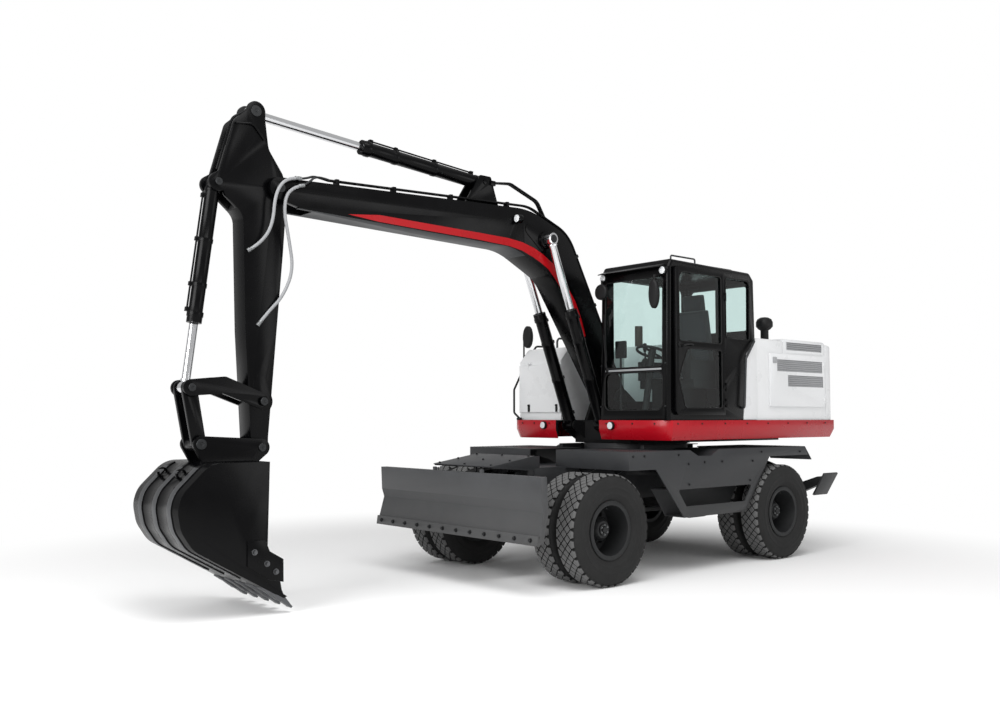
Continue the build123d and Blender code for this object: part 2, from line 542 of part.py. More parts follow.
def leg():
    rings = [Pos(LEG_PIVOT_Y, LEG_PIVOT_Z) * Circle(75), Pos(LEG_PAD_Y, LEG_PAD_Z) * Circle(48)]
    outline = make_hull([edge for ring in rings for edge in ring.edges()])
    x_low = LEG_X - LEG_WIDTH / 2
    body = extrude(Pos(x_low, 0, 0) * (Plane.YZ * outline), LEG_WIDTH, dir=(1, 0, 0))
    body -= Pos(LEG_X, LEG_PIVOT_Y, LEG_PIVOT_Z) * Rot(0, 90, 0) * Cylinder(30 + PIN_GAP, LEG_WIDTH)
    ears = [Pos(leg_eye[0], leg_eye[1]) * Circle(36), Pos(leg_eye[0] + 30, leg_eye[1] - 130) * Circle(60)]
    ear_outline = make_hull([edge for ring in ears for edge in ring.edges()])
    ear = extrude(Plane.YZ * ear_outline, 14, dir=(1, 0, 0))
    body += Pos(x_low, 0, 0) * ear + Pos(x_low + LEG_WIDTH - 14, 0, 0) * ear
    foot = Pos(LEG_X, 0, -75) * Box(300, 300, 22) + Pos(LEG_X, 0, -40) * Box(90, 120, 80)
    return body + Pos(0, LEG_PAD_Y, LEG_PAD_Z) * Rot(LEG_LOWERED_ANGLE, 0, 0) * foot


nodes["stabiliser_left"] = leg()
nodes["stabiliser_right"] = mirror(nodes["stabiliser_left"], Plane.XZ)
leg_ram = ram(distance(LEG_RAM_BASE, leg_eye), 650, 540, 46, 27, 92, 66, 22)
barrel, rod = set_ram(leg_ram, (LEG_X, *LEG_RAM_BASE), (LEG_X, *leg_eye), (1, 0, 0))
nodes["stabiliser_cylinder_barrel_left"] = barrel
nodes["stabiliser_cylinder_rod_left"] = rod
nodes["stabiliser_cylinder_barrel_right"] = mirror(barrel, Plane.XZ)
nodes["stabiliser_cylinder_rod_right"] = mirror(rod, Plane.XZ)

# Platform of the upper structure
plan = [(PLATFORM_FRONT_X, -PLATFORM_HALF_WIDTH + 120), (PLATFORM_FRONT_X, PLATFORM_HALF_WIDTH - 120),
        (PLATFORM_FRONT_X - 70, PLATFORM_HALF_WIDTH), (PLATFORM_REAR_X, PLATFORM_HALF_WIDTH),
        (PLATFORM_REAR_X, -PLATFORM_HALF_WIDTH), (PLATFORM_FRONT_X - 70, -PLATFORM_HALF_WIDTH)]
outline = make_face(Polyline(*plan, close=True))
upper_band = extrude(Pos(0, 0, SKIRT_FOLD_Z) * outline, DECK_Z - SKIRT_FOLD_Z, dir=(0, 0, 1))
below = Pos(0, 0, SKIRT_FOLD_Z) * outline
lower_band = extrude(below, SKIRT_FOLD_Z - SKIRT_BOTTOM_Z, dir=(0, 0, -1), taper=20)
inner_plan = [(x - math.copysign(SKIRT_WALL, x), y - math.copysign(SKIRT_WALL * 2, y)) for x, y in plan]
inside = level_plate(inner_plan, SKIRT_BOTTOM_Z, DECK_Z - 20)
platform = upper_band + lower_band - inside
platform += block(PLATFORM_REAR_X + 30, RECESS_BACK_X, -420, 420, RING_TOP_Z, DECK_Z)
platform += upright(0, 0, RING_RADIUS + 30, RING_TOP_Z, DECK_Z - 20)
platform -= block(RECESS_BACK_X, PLATFORM_FRONT_X + 50, BOOM_Y - RECESS_HALF_WIDTH,
                  BOOM_Y + RECESS_HALF_WIDTH, RING_TOP_Z - 10, DECK_Z + 10)
# Boom bracket: two tall plates for the foot and four lugs for the cylinders
foot_gap = BOOM_HALF_WIDTH + 2
for y_low in (foot_gap, -foot_gap - 40):
    cheek = strap([(*BOOM_FOOT, 105), (-180, 1500, 60), (RECESS_BACK_X - 70, 1500, 60)], y_low, y_low + 40)
    platform += about_boom(cheek)
platform += about_boom(cross_pin(BOOM_FOOT, 45, -foot_gap - 55, foot_gap + 55))
ram_eye_half = 45.0
ram_base_half = 70.0
for side in (1, -1):
    for y in (BOOM_RAM_Y - ram_base_half - 2 - 18, BOOM_RAM_Y + ram_base_half + 2):
        low = min(side * y, side * (y + 18))
        lug = strap([(*BOOM_RAM_BASE, 52), (RECESS_BACK_X - 60, 1430, 100)], low, low + 18)
        platform += about_boom(lug)
    ends = sorted((side * (BOOM_RAM_Y - ram_base_half - 20), side * (BOOM_RAM_Y + ram_base_half + 20)))
    platform += about_boom(cross_pin(BOOM_RAM_BASE, 38, *ends))
nodes["platform"] = platform

# Counterweight with rounded rear corners
weight_half = HOUSING_HALF_WIDTH + 5
weight_low_z = SKIRT_FOLD_Z - 50
weight_front_x = HOUSING_REAR_X - SEAT_GAP
weight_plan = [(COUNTERWEIGHT_REAR_X, -weight_half + 15), (COUNTERWEIGHT_REAR_X, weight_half - 15),
               (weight_front_x, weight_half), (weight_front_x, -weight_half)]
weight_face = make_face(Polyline(*weight_plan, close=True))
rear_corners = [v for v in weight_face.vertices() if v.X < HOUSING_REAR_X - 100]
weight_face = fillet(rear_corners, 260)
weight = extrude(Pos(0, 0, weight_low_z) * weight_face, HOOD_TOP_Z - 30 - weight_low_z, dir=(0, 0, 1))
rear_edges = [e for e in weight.edges().group_by(Axis.Z)[-1] if e.center().X < weight_front_x - 5]
weight = fillet(rear_edges, 35)
weight -= block(PLATFORM_REAR_X - SEAT_GAP, 0, -weight_half - 50, weight_half + 50, weight_low_z - 5, DECK_Z)
# A shallow recess across its back, and the two lifting eyes on top
weight -= block(COUNTERWEIGHT_REAR_X - 5, COUNTERWEIGHT_REAR_X + 12, -700, 700, 1760, 2240)
for y in (-620, 600):
    eye = side_plate([(-2310, HOOD_TOP_Z - 31), (-2300, HOOD_TOP_Z + 22), (-2250, HOOD_TOP_Z + 22),
                      (-2240, HOOD_TOP_Z - 31)], y, y + 20)
    weight += eye - cross_pin((-2275, HOOD_TOP_Z - 4), 12, y - 1, y + 21)
nodes["counterweight"] = weight

# Engine block, its mounting on the deck
nodes["engine"] = block(-1880, -1000, -700, 700, DECK_Z, HOUSING_TOP_Z - 80)

# Engine housing: open at the top under the hood and at each side behind its door
HOUSING_RIM = 70.0
inner_half = HOUSING_HALF_WIDTH - HOUSING_WALL
shell = block(HOUSING_REAR_X, HOUSING_FRONT_X, -HOUSING_HALF_WIDTH, HOUSING_HALF_WIDTH, DECK_Z, HOUSING_TOP_Z)
shell -= block(HOUSING_REAR_X + HOUSING_WALL, HOUSING_FRONT_X - HOUSING_WALL, -inner_half, inner_half,
               DECK_Z - 5, HOUSING_TOP_Z - HOUSING_WALL)
shell -= block(HOUSING_REAR_X + HOUSING_RIM, HOOD_FRONT_X - 60, HOUSING_RIM - HOUSING_HALF_WIDTH,
               HOUSING_HALF_WIDTH - HOUSING_RIM, HOUSING_TOP_Z - 60, HOUSING_TOP_Z + 5)
shell -= block(SIDE_DOOR_REAR_X + 40, SIDE_DOOR_FRONT_X - 40, -HOUSING_HALF_WIDTH - 5, HOUSING_HALF_WIDTH + 5,
               SIDE_DOOR_BOTTOM_Z + 40, HOUSING_TOP_Z - 60)
fixed_top = block(HOOD_FRONT_X + 8, HOUSING_FRONT_X, -HOUSING_HALF_WIDTH, HOUSING_HALF_WIDTH, HOUSING_TOP_Z,
                  HOOD_TOP_Z - 20)
shell += chamfer(fixed_top.edges().filter_by(Axis.X).group_by(Axis.Z)[-1], 18)


def grille(x_low, x_high, z_low, z_high, face_y, depth, count):
    """The recess of a grille in a wall that faces +Y, and the tilted slats that fill it."""
    recess = block(x_low, x_high, face_y - depth, face_y + 1, z_low, z_high)
    slats = []
    pitch = (z_high - z_low) / count
    for number in range(count):
        z = z_low + (number + 0.5) * pitch
        slat = [(face_y - depth - 1, z), (face_y - 2, z - 9), (face_y - 2, z - 3),
                (face_y - depth - 1, z + 6)]
        slats.append(cross_plate(slat, x_low - 1, x_high + 1))
    return recess, slats


# Hood: a deep tray lid hinged at its front edge, with a grille in each side
HOOD_WALL = 35.0
hood = block(HOUSING_REAR_X + 5, HOOD_FRONT_X, -HOUSING_HALF_WIDTH, HOUSING_HALF_WIDTH,
             HOUSING_TOP_Z + SEAT_GAP, HOOD_TOP_Z)
hood = fillet(hood.edges().group_by(Axis.Z)[-1], 30)
hood -= block(HOUSING_REAR_X + 5 + HOOD_WALL, HOOD_FRONT_X - HOOD_WALL, HOOD_WALL - HOUSING_HALF_WIDTH,
              HOUSING_HALF_WIDTH - HOOD_WALL, HOUSING_TOP_Z - 5, HOOD_TOP_Z - 20)
recess, slats = grille(-2085, -1330, HOUSING_TOP_Z + 38, HOUSING_TOP_Z + 128, HOUSING_HALF_WIDTH, 18, 4)
hood -= both_sides(recess)
for slat in slats:
    hood += both_sides(slat)
HOOD_HINGE = (HOOD_FRONT_X + 4, HOOD_TOP_Z + 4)
moving, fixed = hinge_pair((-80, 0, -4, 4), (0, 20, -24, 0))
for y in (-700, 700):
    place = Pos(HOOD_HINGE[0], y, HOOD_HINGE[1]) * Rot(90, 0, 0)
    hood += place * moving
    shell += place * fixed
nodes["hood"] = hood

# Side doors of the engine housing, each with two grilles, hinged at the rear edge
SIDE_DOOR_THICKNESS = 22.0
side_door_face = HOUSING_HALF_WIDTH + SEAT_GAP + SIDE_DOOR_THICKNESS
side_door = block(SIDE_DOOR_REAR_X, SIDE_DOOR_FRONT_X, HOUSING_HALF_WIDTH + SEAT_GAP, side_door_face,
                  SIDE_DOOR_BOTTOM_Z, HOUSING_TOP_Z - 15)
for x_low, x_high, z_low, z_high, count in ((-2056, -1100, 2115, 2250, 6), (-2072, -1318, 1943, 2074, 6)):
    recess, slats = grille(x_low, x_high, z_low, z_high, side_door_face, 14, count)
    side_door -= recess
    for slat in slats:
        side_door += slat
SIDE_DOOR_HINGE = (SIDE_DOOR_REAR_X - 14, HOUSING_HALF_WIDTH + 14)
face_above_axis = side_door_face - SIDE_DOOR_HINGE[1]
moving, fixed = hinge_pair((0, 45, face_above_axis, face_above_axis + 6), (-8, 8, -14, 0))
for z in (SIDE_DOOR_BOTTOM_Z + 90, HOUSING_TOP_Z - 105):
    place = Pos(*SIDE_DOOR_HINGE, z)
    side_door += place * moving
    shell += both_sides(place * fixed)
nodes["side_door_left"] = side_door
nodes["side_door_right"] = mirror(side_door, Plane.XZ)
nodes["engine_housing"] = shell

# Tank and toolbox at the right front, with its lid
TOOLBOX_BACK_X = 420.0
TOOLBOX_LOW_Z = 1640.0
TOOLBOX_HIGH_Z = 2200.0
tank_outline = [(TANK_FRONT_X, DECK_Z), (TANK_FRONT_X, 2240), (600, TANK_TOP_Z), (TANK_REAR_X, TANK_TOP_Z),
                (TANK_REAR_X, DECK_Z)]
tank = side_plate(tank_outline, TANK_OUTER_Y, TANK_INNER_Y)
tank = fillet(tank.edges().filter_by(Axis.X).group_by(Axis.Z)[-1], 30)
tank -= block(TOOLBOX_BACK_X, TANK_FRONT_X + 5, TANK_OUTER_Y + 30, TANK_INNER_Y - 30, TOOLBOX_LOW_Z + 30,
              TOOLBOX_HIGH_Z - 30)
tank += upright(-60, -820, 62, TANK_TOP_Z - 1, TANK_TOP_Z + 34)
tank += upright(-60, -820, 48, TANK_TOP_Z, TANK_TOP_Z + 52)
lid = block(TANK_FRONT_X + SEAT_GAP, TANK_FRONT_X + 22, TANK_OUTER_Y + 5, TANK_INNER_Y - 5, TOOLBOX_LOW_Z,
            TOOLBOX_HIGH_Z)
lid = chamfer(lid.edges().group_by(Axis.X)[-1], 6)
LID_HINGE = (TANK_FRONT_X + 14, TOOLBOX_HIGH_Z + 16)
moving, fixed = hinge_pair((8, 14, -50, 0), (-14, 0, -8, 8))
for y in (-1010, -630):
    place = Pos(LID_HINGE[0], y, LID_HINGE[1]) * Rot(90, 0, 0)
    lid += place * moving
    tank += place * fixed
nodes["tank"] = tank
nodes["toolbox_lid"] = lid

# Cab: a hollow shell with its window and door openings
cab_outline = [(830, DECK_Z), (800, 3140), (755, 3220), (-620, 3200), (-700, 3120), (-715, 2480),
               (-520, 2280), (-450, DECK_Z)]
cab_face = make_face(Polyline(*cab_outline, close=True))
cab_inside = offset(cab_face, -CAB_WALL, kind=Kind.INTERSECTION)
roof_corners = [v for v in cab_face.vertices() if v.Z > 3000 or v.Y > 3000]
cab_width = CAB_LEFT_Y - CAB_RIGHT_Y
cab = extrude(Pos(0, CAB_LEFT_Y, 0) * (Plane.XZ * fillet(roof_corners, 38)), cab_width, dir=(0, -1, 0))
front_posts = [e for e in cab.edges()
               if e.length > 1400 and e.center().X > 700 and abs(e.center().Z - 2347) < 60]
cab = fillet(front_posts, 40)
cab -= extrude(Pos(0, CAB_LEFT_Y - CAB_WALL, 0) * (Plane.XZ * cab_inside), cab_width - 2 * CAB_WALL,
               dir=(0, -1, 0))
WINDSHIELD_LOW_Z = 2110.0
WINDSHIELD_HIGH_Z = 3040.0
LOWER_GLASS_LOW_Z = 1660.0
LOWER_GLASS_HIGH_Z = 2055.0
window_left = CAB_LEFT_Y - 80
window_right = CAB_RIGHT_Y + 75


def across(low_z, high_z):
    return [(window_right, low_z), (window_left, low_z), (window_left, high_z), (window_right, high_z)]


windshield = across(WINDSHIELD_LOW_Z, WINDSHIELD_HIGH_Z)
lower_glass = across(LOWER_GLASS_LOW_Z, LOWER_GLASS_HIGH_Z)
rear_window = across(2560, 3060)
rear_quarter = [(-160, 2440), (-590, 2440), (-600, 3060), (-560, 3100), (-160, 3100)]
right_window = [(640, 1760), (640, 3100), (-560, 3100), (-600, 3060), (-600, 2560), (-330, 2300),
                (-330, 1760)]
cab -= cross_plate(windshield, 700, 900, 45) + cross_plate(lower_glass, 700, 900, 70)
cab -= cross_plate(rear_window, -800, -600, 45)
door_cut = block(DOOR_REAR_X + 45, DOOR_FRONT_X - 35, CAB_LEFT_Y - 100, CAB_LEFT_Y + 50, DOOR_BOTTOM_Z + 35,
                 DOOR_TOP_Z - 30)
cab -= door_cut
cab -= side_plate(rear_quarter, CAB_LEFT_Y - 100, CAB_LEFT_Y + 50, 28)
cab -= side_plate(right_window, CAB_RIGHT_Y - 50, CAB_RIGHT_Y + 100, 28)
# Raised roof panel and the sun visor over the windshield
roof_panel = block(-480, 560, CAB_RIGHT_Y + 130, CAB_LEFT_Y - 130, 3195, 3238)
cab += chamfer(roof_panel.edges().group_by(Axis.Z)[-1], 14)
visor = [(790, 3150), (905, 3120), (905, 3130), (780, 3172)]
cab += side_plate(visor, window_right - 20, window_left + 20)
DOOR_THICKNESS = 40.0
door_low_y = CAB_LEFT_Y + SEAT_GAP
DOOR_HINGE = (DOOR_REAR_X - 12, door_low_y + DOOR_THICKNESS + 6)
door_moving, door_fixed = hinge_pair((0, 55, -6, 2), (-8, 8, -DOOR_THICKNESS - 6 - SEAT_GAP, 0))
door_hinge_heights = (1740, 1911, 2880)
for z in door_hinge_heights:
    cab += Pos(*DOOR_HINGE, z) * door_fixed
nodes["cab_frame"] = cab

# Fixed window glass, each pane set in the middle of its wall
windshield_x = 790.0
panes = cross_plate(windshield, windshield_x, windshield_x + GLASS, 45)
panes += cross_plate(lower_glass, windshield_x + 10, windshield_x + 10 + GLASS, 70)
panes += side_plate(rear_quarter, CAB_LEFT_Y - 25, CAB_LEFT_Y - 25 + GLASS, 28)
panes += side_plate(right_window, CAB_RIGHT_Y + 20, CAB_RIGHT_Y + 20 + GLASS, 28)
panes += cross_plate(rear_window, -685, -685 + GLASS, 45)
nodes["cab_glass"] = panes

# Cab door, hinged at its rear edge
door = block(DOOR_REAR_X, DOOR_FRONT_X, door_low_y, door_low_y + DOOR_THICKNESS, DOOR_BOTTOM_Z, DOOR_TOP_Z)
door = fillet(door.edges().filter_by(Axis.Y).group_by(Axis.X)[-1], 45)
upper_light = [(-25, 2370), (-25, 3090), (640, 3090), (690, 3030), (690, 2370)]
lower_light = [(-25, 1685), (-25, 2300), (550, 2300), (625, 2160), (700, 1980), (600, 1685)]
door_glass = None
for light in (upper_light, lower_light):
    door -= side_plate(light, door_low_y - 10, door_low_y + DOOR_THICKNESS + 10, 32)
    pane = side_plate(light, door_low_y + 17, door_low_y + 17 + GLASS, 32)
    door_glass = pane if door_glass is None else door_glass + pane
for z in door_hinge_heights:
    door += Pos(*DOOR_HINGE, z) * door_moving
nodes["cab_door"] = door
nodes["door_glass"] = door_glass

# Operator's seat and controls
cab_floor_z = DECK_Z + CAB_WALL
seat_y = (CAB_LEFT_Y + CAB_RIGHT_Y) / 2
seat = block(-180, 330, seat_y - 250, seat_y + 250, 2000, 2130)
seat += side_plate([(-180, 2060), (-60, 2060), (-190, 2780), (-290, 2760)], seat_y - 240, seat_y + 240)
headrest = side_plate([(-250, 2740), (-160, 2740), (-195, 2960), (-285, 2950)], seat_y - 130, seat_y + 130)
nodes["seat"] = fillet(seat.edges().filter_by(Axis.Y), 18) + fillet(headrest.edges().filter_by(Axis.Y), 18)
controls = block(-150, 280, seat_y - 200, seat_y + 200, cab_floor_z, 2000 - SEAT_GAP)
controls += both_sides(block(-120, 320, 265, 365, 1990, 2200)).moved(Location((0, seat_y, 0)))
controls += block(-120, 280, seat_y - 370, seat_y + 370, 1900, 1990)
controls += block(580, 690, seat_y - 60, seat_y + 60, cab_floor_z, cab_floor_z + 60)
controls += bar((630, seat_y, cab_floor_z + 45), (515, seat_y, 2275), 36)
wheel_plane = Plane(origin=(510, seat_y, 2285), z_dir=(-0.35, 0, 1))
controls += wheel_plane.location * Torus(165, 15)
controls += wheel_plane.location * Box(330, 30, 16)
controls += wheel_plane.location * Cylinder(40, 60)
nodes["controls"] = controls

# Mirrors and their tubes


def oval_mirror(x, y, z, half_width, half_height, depth):
    shell = Pos(x, y, z) * Rot(0, 90, 0) * extrude(Ellipse(half_height, half_width), depth / 2, both=True)
    return chamfer(shell.edges().group_by(Axis.X)[-1], depth * 0.3)


left_mirror = oval_mirror(905, 1050, 2850, 62, 150, 46)
left_mirror += bar((895, 1050, 2985), (895, 1050, 3045), 11) + bar((895, 1050, 3040), (802.3, 1050, 3040), 11)
round_mirror = oval_mirror(905, 320, 2935, 85, 85, 46)
round_mirror += bar((895, 320, 3000), (895, 320, 3060), 11) + bar((895, 320, 3055), (802.1, 320, 3055), 11)
tube_route = [(792, -1120, DECK_Z + 20), (815, -1190, 1640), (815, -1190, 1915), (610, -1190, 2260),
              (450, -1190, 2450), (300, -1120, 2450), (300, -1120, TANK_TOP_Z + SEAT_GAP)]
right_tube = block(768, 816, -1145, -1100, DECK_Z, DECK_Z + 26) + pipe(tube_route, 12, 40)
right_tube += bar((655, -1190, 2185), (655, -1190, 2500), 10)
right_tube += bar((655, -1190, 2500), (655, -1150, 2500), 10)
right_mirror = oval_mirror(655, -1125, 2551, 75, 133, 46)
right_camera = chamfer(block(566, 612, -1262, -1192, 2250, 2340).edges().group_by(Axis.X)[-1], 10)
nodes["mirrors"] = left_mirror + round_mirror + right_tube + right_mirror + right_camera

# Air pre-cleaner and exhaust pipe on the housing
cleaner_base = HOOD_TOP_Z - 20
cleaner_line = [(0, 0), (46, 0), (46, 120), (70, 135), (96, 165), (96, 215), (80, 250), (45, 270), (0, 276)]
cleaner = revolve(make_face(Plane.XZ * Polyline(*cleaner_line, close=True)), Axis.Z)
stack = Pos(-1145, 990, cleaner_base) * cleaner
stack += upright(-1000, -800, 50, cleaner_base, cleaner_base + 285)
stack -= upright(-1000, -800, 44, cleaner_base + 200, cleaner_base + 290)
nodes["exhaust"] = stack

# Handrails, and the light rail on the cab roof
rail_y = CAB_LEFT_Y + 34
rail_foot = (-430, 1690)
rail_top = (-640, 2440)
rail_route = [(rail_foot[0], CAB_LEFT_Y + SEAT_GAP, rail_foot[1]), (rail_foot[0], rail_y, rail_foot[1]),
              (-468, rail_y, 2230), (rail_top[0], rail_y, rail_top[1]),
              (rail_top[0], CAB_LEFT_Y + SEAT_GAP, rail_top[1])]
rail = pipe(rail_route, 13, 25)
tank_rail_z = TANK_TOP_Z + 160
tank_rail_route = [(180, -1100, TANK_TOP_Z + SEAT_GAP), (180, -1100, tank_rail_z), (-213, -1100, tank_rail_z),
                   (-213, -1100, TANK_TOP_Z + SEAT_GAP)]
rail += pipe(tank_rail_route, 13, 50)
roof_rail_route = [(700, 1110, 3219.6), (700, 1110, 3262), (300, 1110, 3262), (300, 1110, 3213.8)]
rail += pipe(roof_rail_route, 9, 20)
nodes["handrails"] = rail

# Work lamps in the platform's front and on the cab roof
lamps = None
for x, y, z in ((PLATFORM_FRONT_X, BOOM_Y - 520, 1497), (PLATFORM_FRONT_X, BOOM_Y + 520, 1497),
                (801.9, CAB_RIGHT_Y + 62, 3095), (801.9, CAB_LEFT_Y - 62, 3095)):
    lamp = Pos(x, y, z) * along_x(44, 0, 34)
    lamp = chamfer(lamp.edges().group_by(Axis.X)[-1], 7)
    lamps = lamp if lamps is None else lamps + lamp
nodes["work_lamps"] = lamps

# Boom: a bent box beam with a forked nose
boom_outline = [(205, 1850), (1130, 3560), (1700, 3775), (4430, 3650), (4430, 3400), (1900, 3345),
                (1360, 3080), (420, 1720)]
boom_face = make_face(Polyline(*boom_outline, close=True))


def near(points, x, z):
    return min(points, key=lambda v: math.hypot(v.X - x, v.Y - z))


for x, z, radius in ((1130, 3560, 420), (1700, 3775, 900), (1900, 3345, 700), (1360, 3080, 420)):
    boom_face = fillet([near(boom_face.vertices(), x, z)], radius)
boom = extrude(Pos(0, BOOM_HALF_WIDTH, 0) * (Plane.XZ * boom_face), 2 * BOOM_HALF_WIDTH, dir=(0, -1, 0))
boom += strap([(*BOOM_FOOT, 110), (420, 1980, 130)], -BOOM_HALF_WIDTH, BOOM_HALF_WIDTH)
boom += strap([(*BOOM_TIP, 95), (4380, 3525, 125)], -BOOM_HALF_WIDTH, BOOM_HALF_WIDTH)
slot_half = ARM_HALF_WIDTH + 3
boom -= block(4270, 4800, -slot_half, slot_half, 3200, 3900)
boom += cross_pin(BOOM_TIP, 40, -BOOM_HALF_WIDTH - 14, BOOM_HALF_WIDTH + 14)
ram_boss_half = BOOM_RAM_Y - ram_eye_half - RUNNING_GAP
boom += cross_pin(BOOM_RAM_EYE, 95, -ram_boss_half, ram_boss_half)
boom += both_sides(strap([(*BOOM_RAM_EYE, 130), (1700, 3560, 60)], BOOM_HALF_WIDTH - 2, BOOM_HALF_WIDTH + 10))
boom += both_sides(strap([(*BOOM_FOOT, 118), (560, 2180, 60)], BOOM_HALF_WIDTH - 22, BOOM_HALF_WIDTH))
boom -= cross_pin(BOOM_FOOT, 45 + PIN_GAP, -BOOM_HALF_WIDTH, BOOM_HALF_WIDTH)
arm_ram_half = 72.0
for y_low in (arm_ram_half + 1, -arm_ram_half - 1 - 24):
    boom += side_plate([(2080, 3735), (2190, 4050), (2330, 4050), (2540, 3715)], y_low, y_low + 24, 20)
boom += cross_pin(ARM_RAM_BASE, 34, -arm_ram_half - 38, arm_ram_half + 38)
# Steel pipes along the top of the boom, held by clamps, and the bent ones to the arm's cylinder
pipe_line = [(530, 2522), (1106, 3587), (1695, 3809), (4120, 3698)]
for y in (109, 133):
    boom += pipe([(x, y, z) for x, z in pipe_line], 10, 450)
for x, z, angle in ((700, 2837, 61.6), (980, 3354, 61.6), (2000, 3795, -2.6), (2740, 3761, -2.6),
                    (3420, 3730, -2.6), (4040, 3702, -2.6)):
    boom += Pos(x, 0, z) * Rot(0, -angle, 0) * block(-17, 17, 92, 148, -46, 16)
for y in (30, 60):
    boom += pipe([(1330, y, 3640), (1500, y, 3900), (1900, y + 15, 4030), (2170, 92, 3990)], 13, 130)
boom += both_sides(block(2140, 2200, arm_ram_half + 1, 114, 3960, 4010))
# Work lamp on the boom's left side
boom += block(1880, 1910, BOOM_HALF_WIDTH - 2, 205, 3590, 3625)
boom += chamfer((Pos(1870, 205, 3640) * along_x(46, 0, 62)).edges().group_by(Axis.X)[-1], 8)
nodes["boom"] = about_boom(boom)

# Boom cylinders, one each side of the boom
boom_ram = ram(distance(BOOM_RAM_BASE, BOOM_RAM_EYE), 1690, 1330, 66, 42, 2 * ram_base_half,
               2 * ram_eye_half, 38)


def in_plane(pieces, base, eye, y):
    """A cylinder's pieces between two pivots given as (x, z), turning about Y."""
    return set_ram(pieces, (base[0], y, base[1]), (eye[0], y, eye[1]), (0, -1, 0))


left_barrel, left_rod = in_plane(boom_ram, BOOM_RAM_BASE, BOOM_RAM_EYE, BOOM_Y + BOOM_RAM_Y)
right_barrel, right_rod = in_plane(boom_ram, BOOM_RAM_BASE, BOOM_RAM_EYE, BOOM_Y - BOOM_RAM_Y)
nodes["boom_cylinder_barrels"] = left_barrel + right_barrel
nodes["boom_cylinder_rods"] = left_rod + right_rod

# Arm: a tapering box with a forked top and bosses
arm_outline = [(4745, 4190), (4700, 3880), (4560, 3680), (4520, 3500), (4550, 3000), (4600, 2330),
               (4668, 1390), (4820, 1360), (4888, 2310), (4925, 3290), (5090, 3430), (5150, 3610),
               (5020, 4080), (4900, 4190)]
arm_face = make_face(Polyline(*arm_outline, close=True))
for x, z, radius in ((4700, 3880, 150), (4560, 3680, 120), (4520, 3500, 300), (4925, 3290, 140),
                     (5020, 4080, 110), (4900, 4190, 60)):
    arm_face = fillet([near(arm_face.vertices(), x, z)], radius)
arm = extrude(Pos(0, ARM_HALF_WIDTH, 0) * (Plane.XZ * arm_face), 2 * ARM_HALF_WIDTH, dir=(0, -1, 0))
arm += strap([(*ARM_RAM_EYE, 85), (4830, 4060, 95)], -ARM_HALF_WIDTH, ARM_HALF_WIDTH)
arm += strap([(*BUCKET_RAM_BASE, 78), (5020, 3600, 90)], -ARM_HALF_WIDTH, ARM_HALF_WIDTH)
arm += strap([(*ARM_END, 75), (4735, 1480, 68)], -ARM_HALF_WIDTH, ARM_HALF_WIDTH)
arm += cross_pin(ROCKER_PIVOT, 68, -ARM_HALF_WIDTH, ARM_HALF_WIDTH)
arm_slot = arm_ram_half + RUNNING_GAP
arm -= block(4200, 5400, -arm_slot, arm_slot, 3850, 4600)
bucket_ram_half = 62.0
bucket_slot = bucket_ram_half + 1
arm -= block(4985, 5400, -bucket_slot, bucket_slot, 3150, 3860)
arm -= cross_pin(BOOM_TIP, 40 + PIN_GAP, -ARM_HALF_WIDTH, ARM_HALF_WIDTH)
arm += cross_pin(BUCKET_RAM_BASE, 32, -ARM_HALF_WIDTH - 12, ARM_HALF_WIDTH + 12)
arm += cross_pin(ROCKER_PIVOT, 34, -148, 148)
arm -= cross_pin(ARM_END, 34 + PIN_GAP, -ARM_HALF_WIDTH, ARM_HALF_WIDTH)
arm += both_sides(strap([(*ROCKER_PIVOT, 100), (4745, 1880, 60)], ARM_HALF_WIDTH - 2, ARM_HALF_WIDTH + 3))
# Pipes round the arm's top, one at its front edge and one on its left side
arm += pipe([(4880, 88, 4204), (5034, 88, 4092), (5162, 88, 3632)], 10, 90)
arm += pipe([(5010, 108, 4050), (4850, 110, 4072), (4745, 108, 3950)], 10, 60)
nodes["arm"] = about_boom(arm)

arm_ram = ram(distance(ARM_RAM_BASE, ARM_RAM_EYE), 1775, 1450, 66, 40, 2 * arm_ram_half, 110, 34)
barrel, rod = in_plane(arm_ram, ARM_RAM_BASE, ARM_RAM_EYE, BOOM_Y)
nodes["arm_cylinder_barrel"] = barrel
nodes["arm_cylinder_rod"] = rod
bucket_ram = ram(distance(BUCKET_RAM_BASE, ROCKER_END), 1262, 1183, 58, 35, 2 * bucket_ram_half, 92, 32)
barrel, rod = in_plane(bucket_ram, BUCKET_RAM_BASE, ROCKER_END, BOOM_Y)
nodes["bucket_cylinder_barrel"] = barrel
nodes["bucket_cylinder_rod"] = rod

# Hoses from the boom's tip to two fittings on the arm's left side
HOSE_RADIUS = 14.0
hose_routes = (
    [(4430, 172, 3655), (4560, 186, 3650), (4676, 186, 3500), (4690, 178, 3217), (4780, 140, 3052),
     (4880, 104, 2985)],
    [(4400, 172, 3600), (4540, 186, 3560), (4600, 186, 3380), (4530, 170, 3100), (4475, 150, 2853),
     (4560, 128, 2620), (4690, 116, 2480), (4780, 104, 2360)],
)
hoses = [pipe(route, HOSE_RADIUS, 70) for route in hose_routes]
nodes["arm_hoses"] = about_boom(hoses[0] + hoses[1]) - nodes["arm"]

